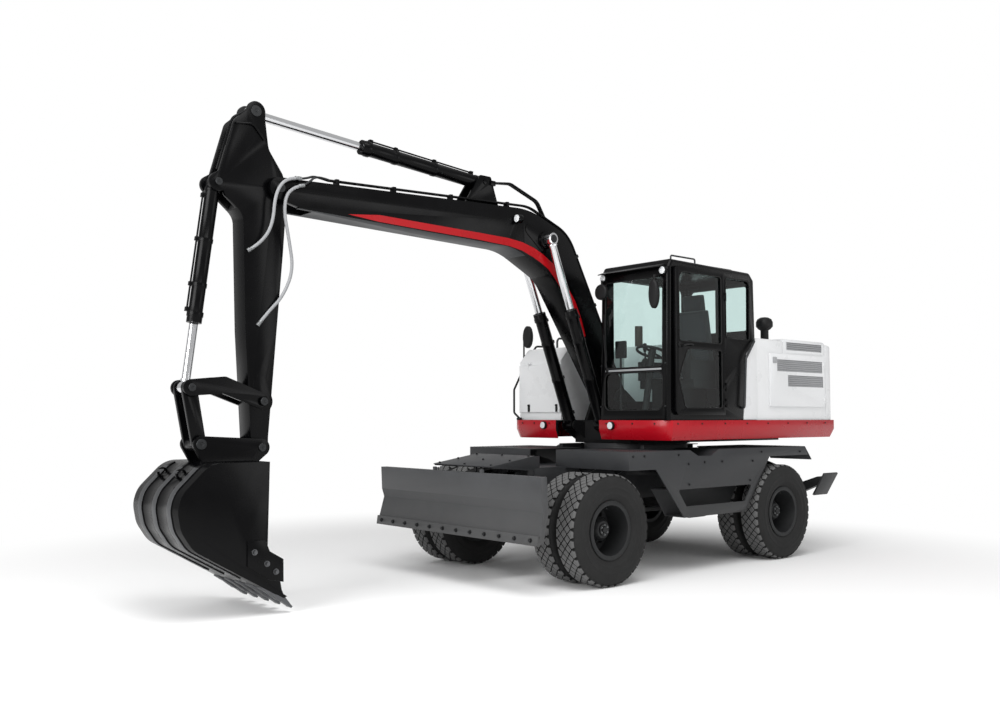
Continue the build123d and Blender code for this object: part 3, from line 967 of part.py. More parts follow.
# Rocker: two curved plates outside the arm, with the pin stubs that carry the link
ROCKER_LOW_Y = 104.0
ROCKER_HIGH_Y = 132.0
rocker_middle = (5080.0, 1850.0)
rocker_plate = strap([(*ROCKER_PIVOT, 66), (*rocker_middle, 70)], ROCKER_LOW_Y, ROCKER_HIGH_Y)
rocker_plate += strap([(*rocker_middle, 70), (*ROCKER_END, 66)], ROCKER_LOW_Y, ROCKER_HIGH_Y)
rocker_plate -= cross_pin(ROCKER_PIVOT, 34 + PIN_GAP, ROCKER_LOW_Y, ROCKER_HIGH_Y)
rocker_plate += cross_pin(ROCKER_END, 32, 62, ROCKER_HIGH_Y + 14)
rocker_tube = cross_pin((5130, 1860), 36, -ROCKER_HIGH_Y, ROCKER_HIGH_Y)
nodes["rocker"] = about_boom(both_sides(rocker_plate) + rocker_tube)

# Bucket link: two plates from the rocker to the bucket, joined low down
LINK_LOW_Y = 62.0
LINK_HIGH_Y = 96.0
link_plate = strap([(*ROCKER_END, 62), (*BUCKET_EAR, 58)], LINK_LOW_Y, LINK_HIGH_Y)
link_plate -= cross_pin(ROCKER_END, 32 + PIN_GAP, LINK_LOW_Y, LINK_HIGH_Y)
nodes["bucket_link"] = about_boom(both_sides(link_plate) + cross_pin(BUCKET_EAR, 58, -LINK_LOW_Y, LINK_LOW_Y))

# Bucket: rolled back, two side plates, lip with teeth, ears with pins
bucket_curve = [(5330, 1230), (5560, 1000), (5592, 880), (5560, 720), (5460, 570)]
bucket_front = [(4760, 165), (4700, 150), (4735, 330), (4840, 520)]
bucket_face = make_face(Polyline((4830, 1230), *bucket_curve, *bucket_front, close=True))
inner_curve = [(5322, 1212), (5543, 991), (5573, 880), (5543, 728), (5448, 588)]
inner_bucket = make_face(Polyline((4400, 1212), *inner_curve, (4680, 143), (4400, 143), close=True))
for x, z in bucket_curve:
    bucket_face = fillet([near(bucket_face.vertices(), x, z)], 225)
for x, z in inner_curve:
    inner_bucket = fillet([near(inner_bucket.vertices(), x, z)], 207)


def bucket_slice(face, y_low, y_high):
    return extrude(Pos(0, y_high, 0) * (Plane.XZ * face), y_high - y_low, dir=(0, -1, 0))


inside_half = BUCKET_HALF_WIDTH - BUCKET_PLATE
bucket = bucket_slice(bucket_face, -BUCKET_HALF_WIDTH, BUCKET_HALF_WIDTH)
bucket -= bucket_slice(inner_bucket, -inside_half, inside_half)
# Wear straps round the back
strap_face = offset(bucket_face, 10, kind=Kind.INTERSECTION) - bucket_face
strap_reach = make_face(Polyline((5350, 1400), (5800, 1400), (5800, 200), (5010, 200), (5010, 420),
                                 (5300, 560), (5300, 1100), close=True))
strap_face = strap_face & strap_reach
for y in (-330, -40, 250):
    bucket += bucket_slice(strap_face, y, y + 80)
# Side cutters, and two hooks on the back
cutter = [(4868, 610), (4828, 517), (4706, 445), (4702, 262), (4830, 292), (5020, 410), (5020, 610)]
bucket += both_sides(side_plate(cutter, BUCKET_HALF_WIDTH - 1, BUCKET_HALF_WIDTH + 16))
for y in (-200, 165):
    hook = Pos(5452, y, 1140) * Rot(90, 0, 0) * (Cylinder(44, 26) - Cylinder(24, 28))
    hook -= block(5440, 5520, y - 20, y + 20, 1148, 1168)
    bucket += hook - bucket_slice(inner_bucket, y - 20, y + 20)
lip = side_plate([(4870, 232), (4690, 128), (4660, 140), (4700, 168), (4850, 255)], -BUCKET_HALF_WIDTH,
                 BUCKET_HALF_WIDTH)
bucket += lip
TOOTH_COUNT = 5
tooth_pitch = (2 * BUCKET_HALF_WIDTH - 110) / (TOOTH_COUNT - 1)
tooth_outline = [(4720, 116), (4610, 38), (4600, 48), (4690, 160)]
adapter_outline = [(4880, 222), (4800, 170), (4712, 104), (4684, 150), (4700, 190), (4790, 262), (4860, 285)]
for number in range(TOOTH_COUNT):
    y = -BUCKET_HALF_WIDTH + 55 + number * tooth_pitch
    bucket += side_plate(adapter_outline, y - 46, y + 46) + side_plate(tooth_outline, y - 38, y + 38)
ear_low = ARM_HALF_WIDTH + 3
for y_low in (ear_low, -ear_low - 32):
    ear = strap([(*ARM_END, 72), (*BUCKET_EAR, 66), (5180, 1210, 60), (4870, 1190, 40)], y_low, y_low + 32)
    bucket += ear
bucket -= side_plate([(4400, 1100), (4790, 1212), (5300, 1212), (5400, 1000), (5400, 600), (4900, 290),
                      (4600, 260), (4400, 200)], -inside_half, inside_half)
bucket += cross_pin(ARM_END, 34, -ear_low - 44, ear_low + 44)
nodes["bucket"] = about_boom(bucket)

# The finished machine stands with its origin on the ground under the middle of its length
whole = [shape.bounding_box() for shape in nodes.values()]
middle_x = (min(b.min.X for b in whole) + max(b.max.X for b in whole)) / 2
middle_y = (min(b.min.Y for b in whole) + max(b.max.Y for b in whole)) / 2
SHIFT = (-middle_x, -middle_y, 0.0)


def main():
    os.makedirs("parts", exist_ok=True)
    for name, shape in nodes.items():
        export_step(Pos(*SHIFT) * shape, f"parts/{name}.step")
    print("shift", [round(value, 3) for value in SHIFT], "nodes", len(nodes))


main()
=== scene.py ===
import json
import math

import bpy
from mathutils import Matrix, Vector


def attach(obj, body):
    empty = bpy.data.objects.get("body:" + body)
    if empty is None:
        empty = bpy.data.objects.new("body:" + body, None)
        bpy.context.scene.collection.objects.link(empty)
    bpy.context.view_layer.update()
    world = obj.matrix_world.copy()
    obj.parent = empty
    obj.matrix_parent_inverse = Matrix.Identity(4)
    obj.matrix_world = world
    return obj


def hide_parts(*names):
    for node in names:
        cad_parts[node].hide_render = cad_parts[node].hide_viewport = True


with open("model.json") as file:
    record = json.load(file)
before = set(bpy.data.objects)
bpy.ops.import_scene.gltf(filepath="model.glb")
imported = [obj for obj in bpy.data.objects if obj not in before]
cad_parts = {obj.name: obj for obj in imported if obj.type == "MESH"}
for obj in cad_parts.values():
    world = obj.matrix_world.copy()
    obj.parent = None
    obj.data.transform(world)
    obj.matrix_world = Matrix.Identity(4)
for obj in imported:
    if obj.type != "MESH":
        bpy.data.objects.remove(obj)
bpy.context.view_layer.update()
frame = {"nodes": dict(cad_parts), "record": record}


# Camera, at the machine's front left and 1.6 m above the ground, where the photograph was taken from.
# Its place, direction and lens come from a fit to the wheels, the blade and the platform.
def placed(name, data):
    """A new object in the scene for a mesh, a curve, a lamp or a camera."""
    piece = bpy.data.objects.new(name, data)
    bpy.context.scene.collection.objects.link(piece)
    return piece


camera = placed("camera", bpy.data.cameras.new("camera"))
camera.location = (7.063, 7.525, 1.588)
camera.rotation_euler = (math.radians(93.517), 0.0, math.radians(138.922))
camera.data.lens = 35.226
camera.data.clip_end = 200.0
bpy.context.scene.camera = camera
bpy.context.scene.view_settings.view_transform = "Standard"


# Studio floor and light. The floor is white, keeps the machine's shadow and fades into a white surround.
# The light is soft all round, stronger from the front and above than from the machine's left.
def linear(code):
    """A hex colour such as #aabbcc as the linear colour that Blender's sockets take."""
    parts = [int(code[i:i + 2], 16) / 255 for i in (1, 3, 5)]
    return [v / 12.92 if v <= 0.04045 else ((v + 0.055) / 1.055) ** 2.4 for v in parts] + [1.0]


def add_node(tree, kind, sockets=None, **settings):
    """Adds a node. Each socket takes a value, or another node's output socket to link."""
    node = tree.nodes.new(kind)
    for name, value in settings.items():
        setattr(node, name, value)
    for socket, value in (sockets or {}).items():
        if isinstance(value, bpy.types.NodeSocket):
            tree.links.new(value, node.inputs[socket])
        else:
            node.inputs[socket].default_value = value
    return node


def new_material(name):
    """A material without nodes, and its tree."""
    material = bpy.data.materials.new(name)
    material.use_nodes = True
    material.node_tree.nodes.clear()
    return material, material.node_tree


FLOOR_SHADOW_RADIUS = 3.5
FLOOR_WHITE_RADIUS = 7.0
bpy.ops.mesh.primitive_circle_add(vertices=96, radius=90.0, fill_type="NGON", location=(0, 0, 0))
floor = bpy.context.active_object
floor.name = "floor"
white_floor, tree = new_material("white_studio_floor")
where = add_node(tree, "ShaderNodeTexCoord")
distance = add_node(tree, "ShaderNodeVectorMath", {0: where.outputs["Object"]}, operation="LENGTH")
fade = add_node(tree, "ShaderNodeMapRange", {
    "Value": distance.outputs["Value"], "From Min": FLOOR_SHADOW_RADIUS, "From Max": FLOOR_WHITE_RADIUS},
    interpolation_type="SMOOTHSTEP")
matt = add_node(tree, "ShaderNodeBsdfDiffuse", {"Color": linear("#fafafa")})
glow = add_node(tree, "ShaderNodeEmission", {"Color": (1, 1, 1, 1), "Strength": 1.0})
mixed = add_node(tree, "ShaderNodeMixShader", {
    0: fade.outputs["Result"], 1: matt.outputs[0], 2: glow.outputs[0]})
add_node(tree, "ShaderNodeOutputMaterial", {"Surface": mixed.outputs[0]})
floor.data.materials.append(white_floor)

world = bpy.data.worlds.new("studio")
bpy.context.scene.world = world
world.use_nodes = True
tree = world.node_tree
tree.nodes.clear()
ray = add_node(tree, "ShaderNodeLightPath")
# The camera, also through glass, sees a white surround. The machine is lit and mirrored by half of it.
seen = add_node(tree, "ShaderNodeMath", {
    0: ray.outputs["Is Camera Ray"], 1: ray.outputs["Is Transmission Ray"]}, operation="MAXIMUM")
soft = add_node(tree, "ShaderNodeBackground", {"Color": linear("#ffffff"), "Strength": 0.5})
bright = add_node(tree, "ShaderNodeBackground", {"Color": linear("#ffffff"), "Strength": 1.0})
both = add_node(tree, "ShaderNodeMixShader", {0: seen.outputs[0], 1: soft.outputs[0], 2: bright.outputs[0]})
add_node(tree, "ShaderNodeOutputWorld", {"Surface": both.outputs[0]})

for name, place, aim, size, watts in (("panel_above", (3.0, 4.0, 9.0), (0.0, 0.0, 1.5), 6.0, 520.0),
                                      ("panel_front", (10.0, 1.5, 4.0), (0.0, 0.0, 1.4), 5.0, 560.0),
                                      ("panel_left", (-3.5, 9.0, 4.0), (-0.5, 0.0, 1.6), 4.0, 110.0)):
    lamp = placed(name, bpy.data.lights.new(name, "AREA"))
    lamp.data.size = size
    lamp.data.energy = watts
    lamp.location = place
    toward = [a - b for a, b in zip(aim, place)]
    lamp.rotation_euler = (math.atan2(math.hypot(toward[0], toward[1]), -toward[2]), 0.0,
                           math.atan2(toward[1], toward[0]) - math.pi / 2)

# Tyres: twin 10.00-20 tyres of vulcanised black rubber, moulded with a diamond block tread.
# The sidewalls are smooth with thin raised rings. The blocks' tops are scuffed paler than the grooves.
node_body = {node: body for body, nodes in frame["record"]["behaviour"]["bodies"].items() for node in nodes}
SWING_AXIS_X = -1.573042


def at(x, y, z):
    """A point of the machine's drawing, in mm from the axis that the upper structure turns about."""
    return Vector((x / 1000 + SWING_AXIS_X, y / 1000, z / 1000))


def rubber(name, colour, roughness, dust=1.7):
    """Moulded rubber: dull, with a faint grain and paler dusty patches."""
    material, tree = new_material(name)
    place = add_node(tree, "ShaderNodeTexCoord")
    # Dust settles in patches about 200 mm across.
    patches = add_node(tree, "ShaderNodeTexNoise", {
        "Vector": place.outputs["Object"], "Scale": 5.0, "Detail": 8.0, "Roughness": 0.65})
    dusty = [min(1.0, v * dust + 0.002) for v in linear(colour)[:3]] + [1.0]
    tone = add_node(tree, "ShaderNodeMix", {0: patches.outputs["Fac"], 6: linear(colour), 7: dusty},
                    data_type="RGBA")
    # The mould's grain is under 1 mm. It is drawn 4 mm across so that it shows.
    grain = add_node(tree, "ShaderNodeTexNoise", {
        "Vector": place.outputs["Object"], "Scale": 220.0, "Detail": 2.0})
    bump = add_node(tree, "ShaderNodeBump", {
        "Height": grain.outputs["Fac"], "Strength": 0.15, "Distance": 0.001})
    film = add_node(tree, "ShaderNodeBsdfPrincipled", {
        "Base Color": tone.outputs[2], "Roughness": roughness, "Normal": bump.outputs["Normal"],
        "Specular IOR Level": 0.25})
    add_node(tree, "ShaderNodeOutputMaterial", {"Surface": film.outputs[0]})
    return material


tyre_rubber = rubber("vulcanised_tyre_rubber", "#1c1c1c", 0.75)
worn_rubber = rubber("scuffed_tread_rubber", "#585858", 0.85, dust=1.35)


def only(*pieces):
    """Makes these the pieces that the next operators work on, the first of them the active one."""
    bpy.ops.object.select_all(action="DESELECT")
    for piece in pieces:
        piece.select_set(True)
    bpy.context.view_layer.objects.active = pieces[0]


def moved_copy(piece, name, matrix):
    """A copy with its own mesh, moved within it."""
    copy = placed(name, piece.data.copy())
    copy.data.transform(matrix)
    return copy


def joined(pieces, name):
    """Makes one piece of several, under the first one's origin."""
    only(*pieces)
    if len(pieces) > 1:
        bpy.ops.object.join()
    pieces[0].name = name
    return pieces[0]


# Edges that turn by more degrees than this stay sharp.
SMOOTH_ANGLE = 34


def settle(piece, name, body, material, angle=SMOOTH_ANGLE):
    """Ends a new piece: its place goes into its mesh, and it gets its finish and its body."""
    piece.name = name
    only(piece)
    bpy.ops.object.transform_apply(location=True, rotation=True, scale=True)
    bpy.ops.object.shade_smooth_by_angle(angle=math.radians(angle))
    if material:
        piece.data.materials.clear()
        piece.data.materials.append(material)
    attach(piece, body)
    return piece


def edit(kind="FACE"):
    """Opens the active piece for editing, with all of it selected."""
    bpy.ops.object.mode_set(mode="EDIT")
    bpy.ops.mesh.select_mode(type=kind)
    bpy.ops.mesh.select_all(action="SELECT")


def leave_edit():
    bpy.ops.object.mode_set(mode="OBJECT")


def select_nothing():
    """Leaves nothing of the active piece's mesh selected."""
    edit()
    bpy.ops.mesh.select_all(action="DESELECT")
    leave_edit()


def close_spin():
    """Welds the seam of a surface just spun, and turns its faces outwards."""
    bpy.ops.mesh.select_all(action="SELECT")
    bpy.ops.mesh.remove_doubles(threshold=0.00005)
    bpy.ops.mesh.normals_make_consistent(inside=False)
    leave_edit()


def ease_edges(piece, width_mm, segments=2, angle=SMOOTH_ANGLE):
    """Rounds the edges of the active piece that turn by more than an angle."""
    ease = piece.modifiers.new("eased_edges", "BEVEL")
    ease.width = width_mm / 1000
    ease.segments = segments
    ease.limit_method = "ANGLE"
    ease.angle_limit = math.radians(angle)
    bpy.ops.object.modifier_apply(modifier=ease.name)


AXLE_Z = 0.5275
TWIN_MIDDLES = (0.815, 1.135)
# Half of a tyre's section as (radius, distance from its middle), from the bead to the tread, in mm.
half_section = [(256, 88), (276, 90.5), (282, 93), (300, 105.5), (322, 121), (334, 126), (338, 129),
                (344, 129.5), (348, 128), (370, 130.5), (392, 132.5), (396, 134.6), (404, 134.6),
                (408, 132.2), (430, 131.5), (455, 129), (474, 124), (490, 116), (501, 107), (507, 92),
                (510, 60), (510.5, 20)]
section = half_section + [(radius, -across) for radius, across in reversed(half_section)]
bpy.ops.mesh.primitive_circle_add(vertices=len(section), radius=0.1, location=(0, 0, 0))
tyre = bpy.context.active_object
for vertex, (radius, across) in zip(tyre.data.vertices, section):
    vertex.co = (0, across / 1000, AXLE_Z + radius / 1000)
edit("VERT")
bpy.ops.mesh.spin(steps=96, angle=2 * math.pi, center=(0, 0, AXLE_Z), axis=(0, 1, 0))
close_spin()
tyre.data.materials.append(tyre_rubber)

# One pitch of the tread: diamond blocks in five staggered rows, 36 pitches round the tyre.
# An outline is points of (across, round) in mm.
TREAD_PITCHES = 36
BLOCK_FOOT_RADIUS = 0.506
BLOCK_HEIGHT = 0.0195
diamond = [(-36, 0), (0, 39), (36, 0), (0, -39)]
shoulder = [(-36, 0), (0, 39), (12, 36), (12, -36), (0, -39)]
blocks = []
# Each block is (its row's distance from the middle, turn in pitches, outline, side of a shoulder block).
for row, turn, outline, side in ((0, 0.0, diamond, 0), (42, 0.5, diamond, 0), (-42, 0.5, diamond, 0),
                                 (84, 0.0, shoulder, 1), (-84, 0.0, shoulder, -1)):
    sign = side or 1
    bpy.ops.mesh.primitive_circle_add(vertices=len(outline), radius=0.03, fill_type="NGON")
    block = bpy.context.active_object
    for vertex, (across, along) in zip(block.data.vertices, outline):
        vertex.co = (along / 1000, (row + sign * across) / 1000, AXLE_Z + BLOCK_FOOT_RADIUS)
    edit()
    bpy.ops.mesh.extrude_region_move(TRANSFORM_OT_translate={"value": (0, 0, BLOCK_HEIGHT)})
    leave_edit()
    if side:
        # A shoulder block reaches on over the tyre's edge, narrower and lower.
        for face in block.data.polygons:
            face.select = side * face.normal.y > 0.9
        for vertex in block.data.vertices:
            vertex.select = False
        for edge in block.data.edges:
            edge.select = False
        bpy.ops.object.mode_set(mode="EDIT")
        bpy.ops.mesh.select_mode(type="FACE")
        bpy.ops.mesh.extrude_region_move(TRANSFORM_OT_translate={"value": (0, side * 0.016, -0.0165)})
        bpy.ops.transform.resize(value=(0.76, 1, 1))
        leave_edit()
    edit()
    bpy.ops.mesh.normals_make_consistent(inside=False)
    bpy.ops.mesh.select_all(action="DESELECT")
    leave_edit()
    ease_edges(block, 2.2, 1, 30)
    block.data.materials.append(tyre_rubber)
    block.data.materials.append(worn_rubber)
    # Only the tops and their eased edges are scuffed.
    for face in block.data.polygons:
        face.material_index = 1 if face.normal.z > 0.6 and face.center.z > AXLE_Z + 0.51 else 0
    edit()
    bpy.ops.transform.rotate(value=turn * 2 * math.pi / TREAD_PITCHES, orient_axis="Y",
                             center_override=(0, 0, AXLE_Z))
    leave_edit()
    blocks.append(block)
tread = joined(blocks, "tread")
edit()
bpy.ops.mesh.spin(steps=TREAD_PITCHES - 1, dupli=True, center=(0, 0, AXLE_Z), axis=(0, 1, 0),
                  angle=2 * math.pi * (TREAD_PITCHES - 1) / TREAD_PITCHES)
leave_edit()
tyre = joined([tyre, tread], "tyre_pattern")
wheel_axles = {"front": at(1775, 0, 0).x, "rear": at(-1085, 0, 0).x}
for end, axle_x in wheel_axles.items():
    for side, sign in (("left", 1), ("right", -1)):
        twins = [moved_copy(tyre, "twin", Matrix.Translation((axle_x, sign * y, 0)))
                 for y in TWIN_MIDDLES]
        node = f"tyres_{end}_{side}"
        pair = settle(joined(twins, node), node + "_treaded", node_body[node], None)
        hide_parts(node)
bpy.data.objects.remove(tyre)


# Rims: welded steel drums with a deep outer dish, sprayed satin black, each held by eight nuts.
# The hub's end carries a turned cap with its own small bolts.
def enamel(name, colour, gloss, specular=0.5, dust=0.06, grime=None):
    """A sprayed film. gloss is its roughness, dust how far its tone wanders, grime a colour low down."""
    material, tree = new_material(name)
    place = add_node(tree, "ShaderNodeTexCoord")
    # Dust and handling dull the film in patches about half a metre across.
    patches = add_node(tree, "ShaderNodeTexNoise", {
        "Vector": place.outputs["Object"], "Scale": 2.3, "Detail": 7.0, "Roughness": 0.62})
    tone = add_node(tree, "ShaderNodeMapRange", {
        "Value": patches.outputs["Fac"], "From Min": 0.3, "From Max": 0.7,
        "To Min": 1.0 - dust, "To Max": 1.0 + dust})
    tinted = add_node(tree, "ShaderNodeVectorMath", {0: linear(colour)[:3], "Scale": tone.outputs["Result"]},
                      operation="SCALE")
    shade = tinted.outputs[0]
    if grime:
        # Road dust clings below 1.1 m and thickens towards the ground.
        height = add_node(tree, "ShaderNodeSeparateXYZ", {0: place.outputs["Object"]})
        low = add_node(tree, "ShaderNodeMapRange", {
            "Value": height.outputs["Z"], "From Min": 1.1, "From Max": 0.3, "To Min": 0.0, "To Max": 0.55})
        specks = add_node(tree, "ShaderNodeTexNoise", {
            "Vector": place.outputs["Object"], "Scale": 9.0, "Detail": 9.0, "Roughness": 0.7})
        amount = add_node(tree, "ShaderNodeMath", {0: low.outputs["Result"], 1: specks.outputs["Fac"]},
                          operation="MULTIPLY")
        shade = add_node(tree, "ShaderNodeMix", {0: amount.outputs[0], 6: shade, 7: linear(grime)},
                         data_type="RGBA").outputs[2]
    rough = add_node(tree, "ShaderNodeMapRange", {
        "Value": patches.outputs["Fac"], "From Min": 0.35, "From Max": 0.7,
        "To Min": gloss, "To Max": gloss + 0.12})
    # Orange peel is 1 to 2 mm across on a real panel. It is drawn 8 mm across so that it shows.
    peel = add_node(tree, "ShaderNodeTexNoise", {
        "Vector": place.outputs["Object"], "Scale": 125.0, "Detail": 1.0, "Roughness": 0.4})
    bump = add_node(tree, "ShaderNodeBump", {
        "Height": peel.outputs["Fac"], "Strength": 0.05, "Distance": 0.0006})
    film = add_node(tree, "ShaderNodeBsdfPrincipled", {
        "Base Color": shade, "Roughness": rough.outputs["Result"], "Normal": bump.outputs["Normal"],
        "Specular IOR Level": specular})
    add_node(tree, "ShaderNodeOutputMaterial", {"Surface": film.outputs[0]})
    return material


def metal(name, colour, roughness, scratch, grain=60.0):
    """A machined metal, with fine marks that change how sharply it reflects."""
    material, tree = new_material(name)
    place = add_node(tree, "ShaderNodeTexCoord")
    marks = add_node(tree, "ShaderNodeTexNoise", {
        "Vector": place.outputs["Object"], "Scale": grain, "Detail": 4.0, "Roughness": 0.6})
    rough = add_node(tree, "ShaderNodeMapRange", {
        "Value": marks.outputs["Fac"], "To Min": roughness, "To Max": roughness + scratch})
    film = add_node(tree, "ShaderNodeBsdfPrincipled", {
        "Base Color": linear(colour), "Metallic": 1.0, "Roughness": rough.outputs["Result"]})
    add_node(tree, "ShaderNodeOutputMaterial", {"Surface": film.outputs[0]})
    return material


def finished(node, material, edge_mm, patches=()):
    """A copy of the CAD solid with eased edges and smooth round faces, that stands for the node.

    patches holds (material, test of a face's middle and normal) pairs for areas of another finish.
    """
    piece = placed(node + "_finished", frame["nodes"][node].data.copy())
    only(piece)
    bpy.ops.object.mode_set(mode="EDIT")
    bpy.ops.mesh.select_all(action="SELECT")
    bpy.ops.mesh.remove_doubles(threshold=0.00004)
    bpy.ops.mesh.dissolve_limited(angle_limit=math.radians(0.6))
    leave_edit()
    if edge_mm:
        ease_edges(piece, edge_mm)
    bpy.ops.object.shade_smooth_by_angle(angle=math.radians(SMOOTH_ANGLE))
    piece.data.materials.clear()
    piece.data.materials.append(material)
    for number, (patch, test) in enumerate(patches):
        piece.data.materials.append(patch)
        for face in piece.data.polygons:
            if test(face.center, face.normal):
                face.material_index = number + 1
    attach(piece, node_body[node])
    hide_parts(node)
    return piece


def x_between(point, x_low, x_high):
    """Whether a point lies between two x of the drawing, in mm."""
    return at(x_low, 0, 0).x < point.x < at(x_high, 0, 0).x


def hexagon_heads(name, body, places, across_mm, material):
    """Hexagon heads on their washers, each at a point and facing a direction, as one piece."""
    # Over its corners a hexagon is 2 / 1.732 times as wide as over its flats.
    bpy.ops.mesh.primitive_cylinder_add(vertices=6, radius=across_mm / 1732, depth=across_mm * 0.00062)
    head = bpy.context.active_object
    for vertex in head.data.vertices:
        vertex.co.z += across_mm * 0.00045
    select_nothing()
    for face in head.data.polygons:
        face.select = face.normal.z > 0.9
    bpy.ops.object.mode_set(mode="EDIT")
    bpy.ops.mesh.bevel(offset=across_mm * 0.00008, segments=2, affect="EDGES")
    bpy.ops.mesh.primitive_cylinder_add(vertices=20, radius=across_mm * 0.00082, depth=across_mm * 0.0002)
    bpy.ops.mesh.bevel(offset=across_mm * 0.00004, segments=1, affect="EDGES")
    leave_edit()
    copies = []
    for point, direction in places:
        turn = Vector((0, 0, 1)).rotation_difference(Vector(direction)).to_matrix().to_4x4()
        copies.append(moved_copy(head, "head", Matrix.Translation(point) @ turn))
    bpy.data.objects.remove(head)
    return settle(joined(copies, name), name, body, material)


def turned(name, profile, centre, direction, steps=48):
    """A piece turned on a lathe: its outline is (radius, height) in mm, its axis points along direction."""
    bpy.ops.mesh.primitive_circle_add(vertices=len(profile), radius=0.1)
    piece = bpy.context.active_object
    for vertex, (radius, height) in zip(piece.data.vertices, profile):
        vertex.co = (radius / 1000, 0, height / 1000)
    edit("VERT")
    bpy.ops.mesh.spin(steps=steps, angle=2 * math.pi, center=(0, 0, 0), axis=(0, 0, 1))
    close_spin()
    turn = Vector((0, 0, 1)).rotation_difference(Vector(direction)).to_matrix().to_4x4()
    piece.data.transform(Matrix.Translation(centre) @ turn)
    piece.name = name
    return piece


rim_enamel = enamel("rim_satin_enamel", "#202122", 0.45, specular=0.3, dust=0.15)
zinc_steel = metal("zinc_plated_steel", "#8d8f90", 0.35, 0.15)
dark_steel = metal("blackened_steel", "#3a3b3c", 0.42, 0.15)
NUT_SEAT_Y = 0.9805
NUT_CIRCLE_RADIUS = 0.142
HUB_FACE_Y = 1.1402
HUB_BOLT_CIRCLE_RADIUS = 0.046
for end, axle_x in wheel_axles.items():
    for side, sign in (("left", 1), ("right", -1)):
        node = f"rim_{end}_{side}"
        finished(node, rim_enamel, 2.0)
        outward = (0, sign, 0)
        nuts = []
        for number in range(8):
            angle = math.radians(22.5 + 45 * number)
            spot = (axle_x + NUT_CIRCLE_RADIUS * math.cos(angle), sign * NUT_SEAT_Y,
                    AXLE_Z + NUT_CIRCLE_RADIUS * math.sin(angle))
            nuts.append((Vector(spot), outward))
        hexagon_heads(f"wheel_nuts_{end}_{side}", node_body[node], nuts, 30, dark_steel)
        cap_middle = Vector((axle_x, sign * HUB_FACE_Y, AXLE_Z))
        cap = turned("cap", [(0.01, 0), (58, 0), (58, 10), (54, 14), (34, 14), (31, 24), (27, 27),
                             (0.01, 28)], cap_middle, outward)
        settle(cap, f"hub_cap_{end}_{side}", node_body[node], rim_enamel)
        small = [(cap_middle + Vector((HUB_BOLT_CIRCLE_RADIUS * math.cos(a), sign * 0.014,
                                       HUB_BOLT_CIRCLE_RADIUS * math.sin(a))), outward)
                 for a in [math.radians(30 + 60 * number) for number in range(6)]]
        hexagon_heads(f"hub_bolts_{end}_{side}", node_body[node], small, 11, zinc_steel)
        valve = turned("valve", [(0.01, 0), (5, 0), (5, 40), (7, 42), (7, 54), (0.01, 55)],
                       Vector((axle_x + 0.06, sign * 1.19, AXLE_Z + 0.226)), (0, sign, -0.35), 12)
        settle(valve, f"tyre_valve_{end}_{side}", node_body[node], dark_steel)

# Undercarriage: a welded box frame of thick plate with its axles, drive line and brackets.
# It is sprayed satin graphite, and road dust sits on it low down.
chassis_enamel = enamel("graphite_satin_enamel", "#2c2d2f", 0.42, specular=0.3, dust=0.12, grime="#4b4a47")
for node in ("undercarriage_frame", "front_axle", "rear_axle", "knuckle_left", "knuckle_right", "drive_line",
             "steering_rod", "tow_eye"):
    finished(node, chassis_enamel, 4.0)
RING_BOLT_CIRCLE = 612
ring_bolts = []
for number in range(36):
    angle = math.radians(10 * number + 5)
    ring_bolts.append((at(RING_BOLT_CIRCLE * math.cos(angle), RING_BOLT_CIRCLE * math.sin(angle), 1180),
                       (0, 0, 1)))
hexagon_heads("slewing_ring_bolts", "undercarriage", ring_bolts, 24, dark_steel)
# Twelve bolts on an oval before the front axle's housing, twelve on a circle behind the rear one's.
AXLE_BOLT_CIRCLE = 118
axle_mm = AXLE_Z * 1000
axle_bolts = []
for x, half_width, forward in ((1905, 70, 1), (-1215, AXLE_BOLT_CIRCLE, -1)):
    for number in range(12):
        angle = math.radians(30 * number)
        spot = at(x, half_width * math.cos(angle), axle_mm + AXLE_BOLT_CIRCLE * math.sin(angle))
        axle_bolts.append((spot, (forward, 0, 0)))
axle_bolts += [(at(-2131, sign * y, z), (-1, 0, 0)) for sign in (1, -1)
               for y, z in ((330, 560), (290, 500), (370, 500), (200, 1110), (200, 1050))]
hexagon_heads("frame_bolts", "undercarriage", axle_bolts, 22, dark_steel)

# Decks and step frames: folded plate over the wheels, with a stamped tread and bolted edges.
# The treads' studs are pressed up from the plate, so they are painted with it.
deck_enamel = enamel("deck_satin_enamel", "#303133", 0.4, specular=0.3, dust=0.12, grime="#4b4a47")
finished("fenders", deck_enamel, 2.0)
bpy.ops.mesh.primitive_cylinder_add(vertices=8, radius=0.009, depth=0.003)
stud = bpy.context.active_object
STUD_PITCH_X = 60
STUD_PITCH_Y = 50
STUD_SHIFT = 12
for face in stud.data.polygons:
    face.select = face.normal.z > 0.9
bpy.ops.object.mode_set(mode="EDIT")
bpy.ops.transform.resize(value=(0.6, 0.6, 1))
leave_edit()
studs = []
for sign in (1, -1):
    for x_low, x_high, y_low, y_high, z in ((-560, 820, 975, 1175, 866.5), (-360, 600, 975, 1175, 579.5),
                                            (780, 1440, 700, 1160, 1250.5), (-1560, -100, 700, 1160, 1250.5)):
        columns = int((x_high - x_low) / STUD_PITCH_X)
        rows = int((y_high - y_low) / STUD_PITCH_Y)
        for column in range(columns + 1):
            for row in range(rows + 1):
                x = x_low + column * (x_high - x_low) / columns
                shift = STUD_SHIFT if column % 2 else -STUD_SHIFT
                y = y_low + row * (y_high - y_low) / rows + shift
                studs.append(moved_copy(stud, "stud", Matrix.Translation(at(x, sign * y, z))))
bpy.data.objects.remove(stud)
settle(joined(studs, "tread_studs"), "tread_studs", "undercarriage", deck_enamel)
DECK_SIDE_Y = 1207
deck_bolts = []
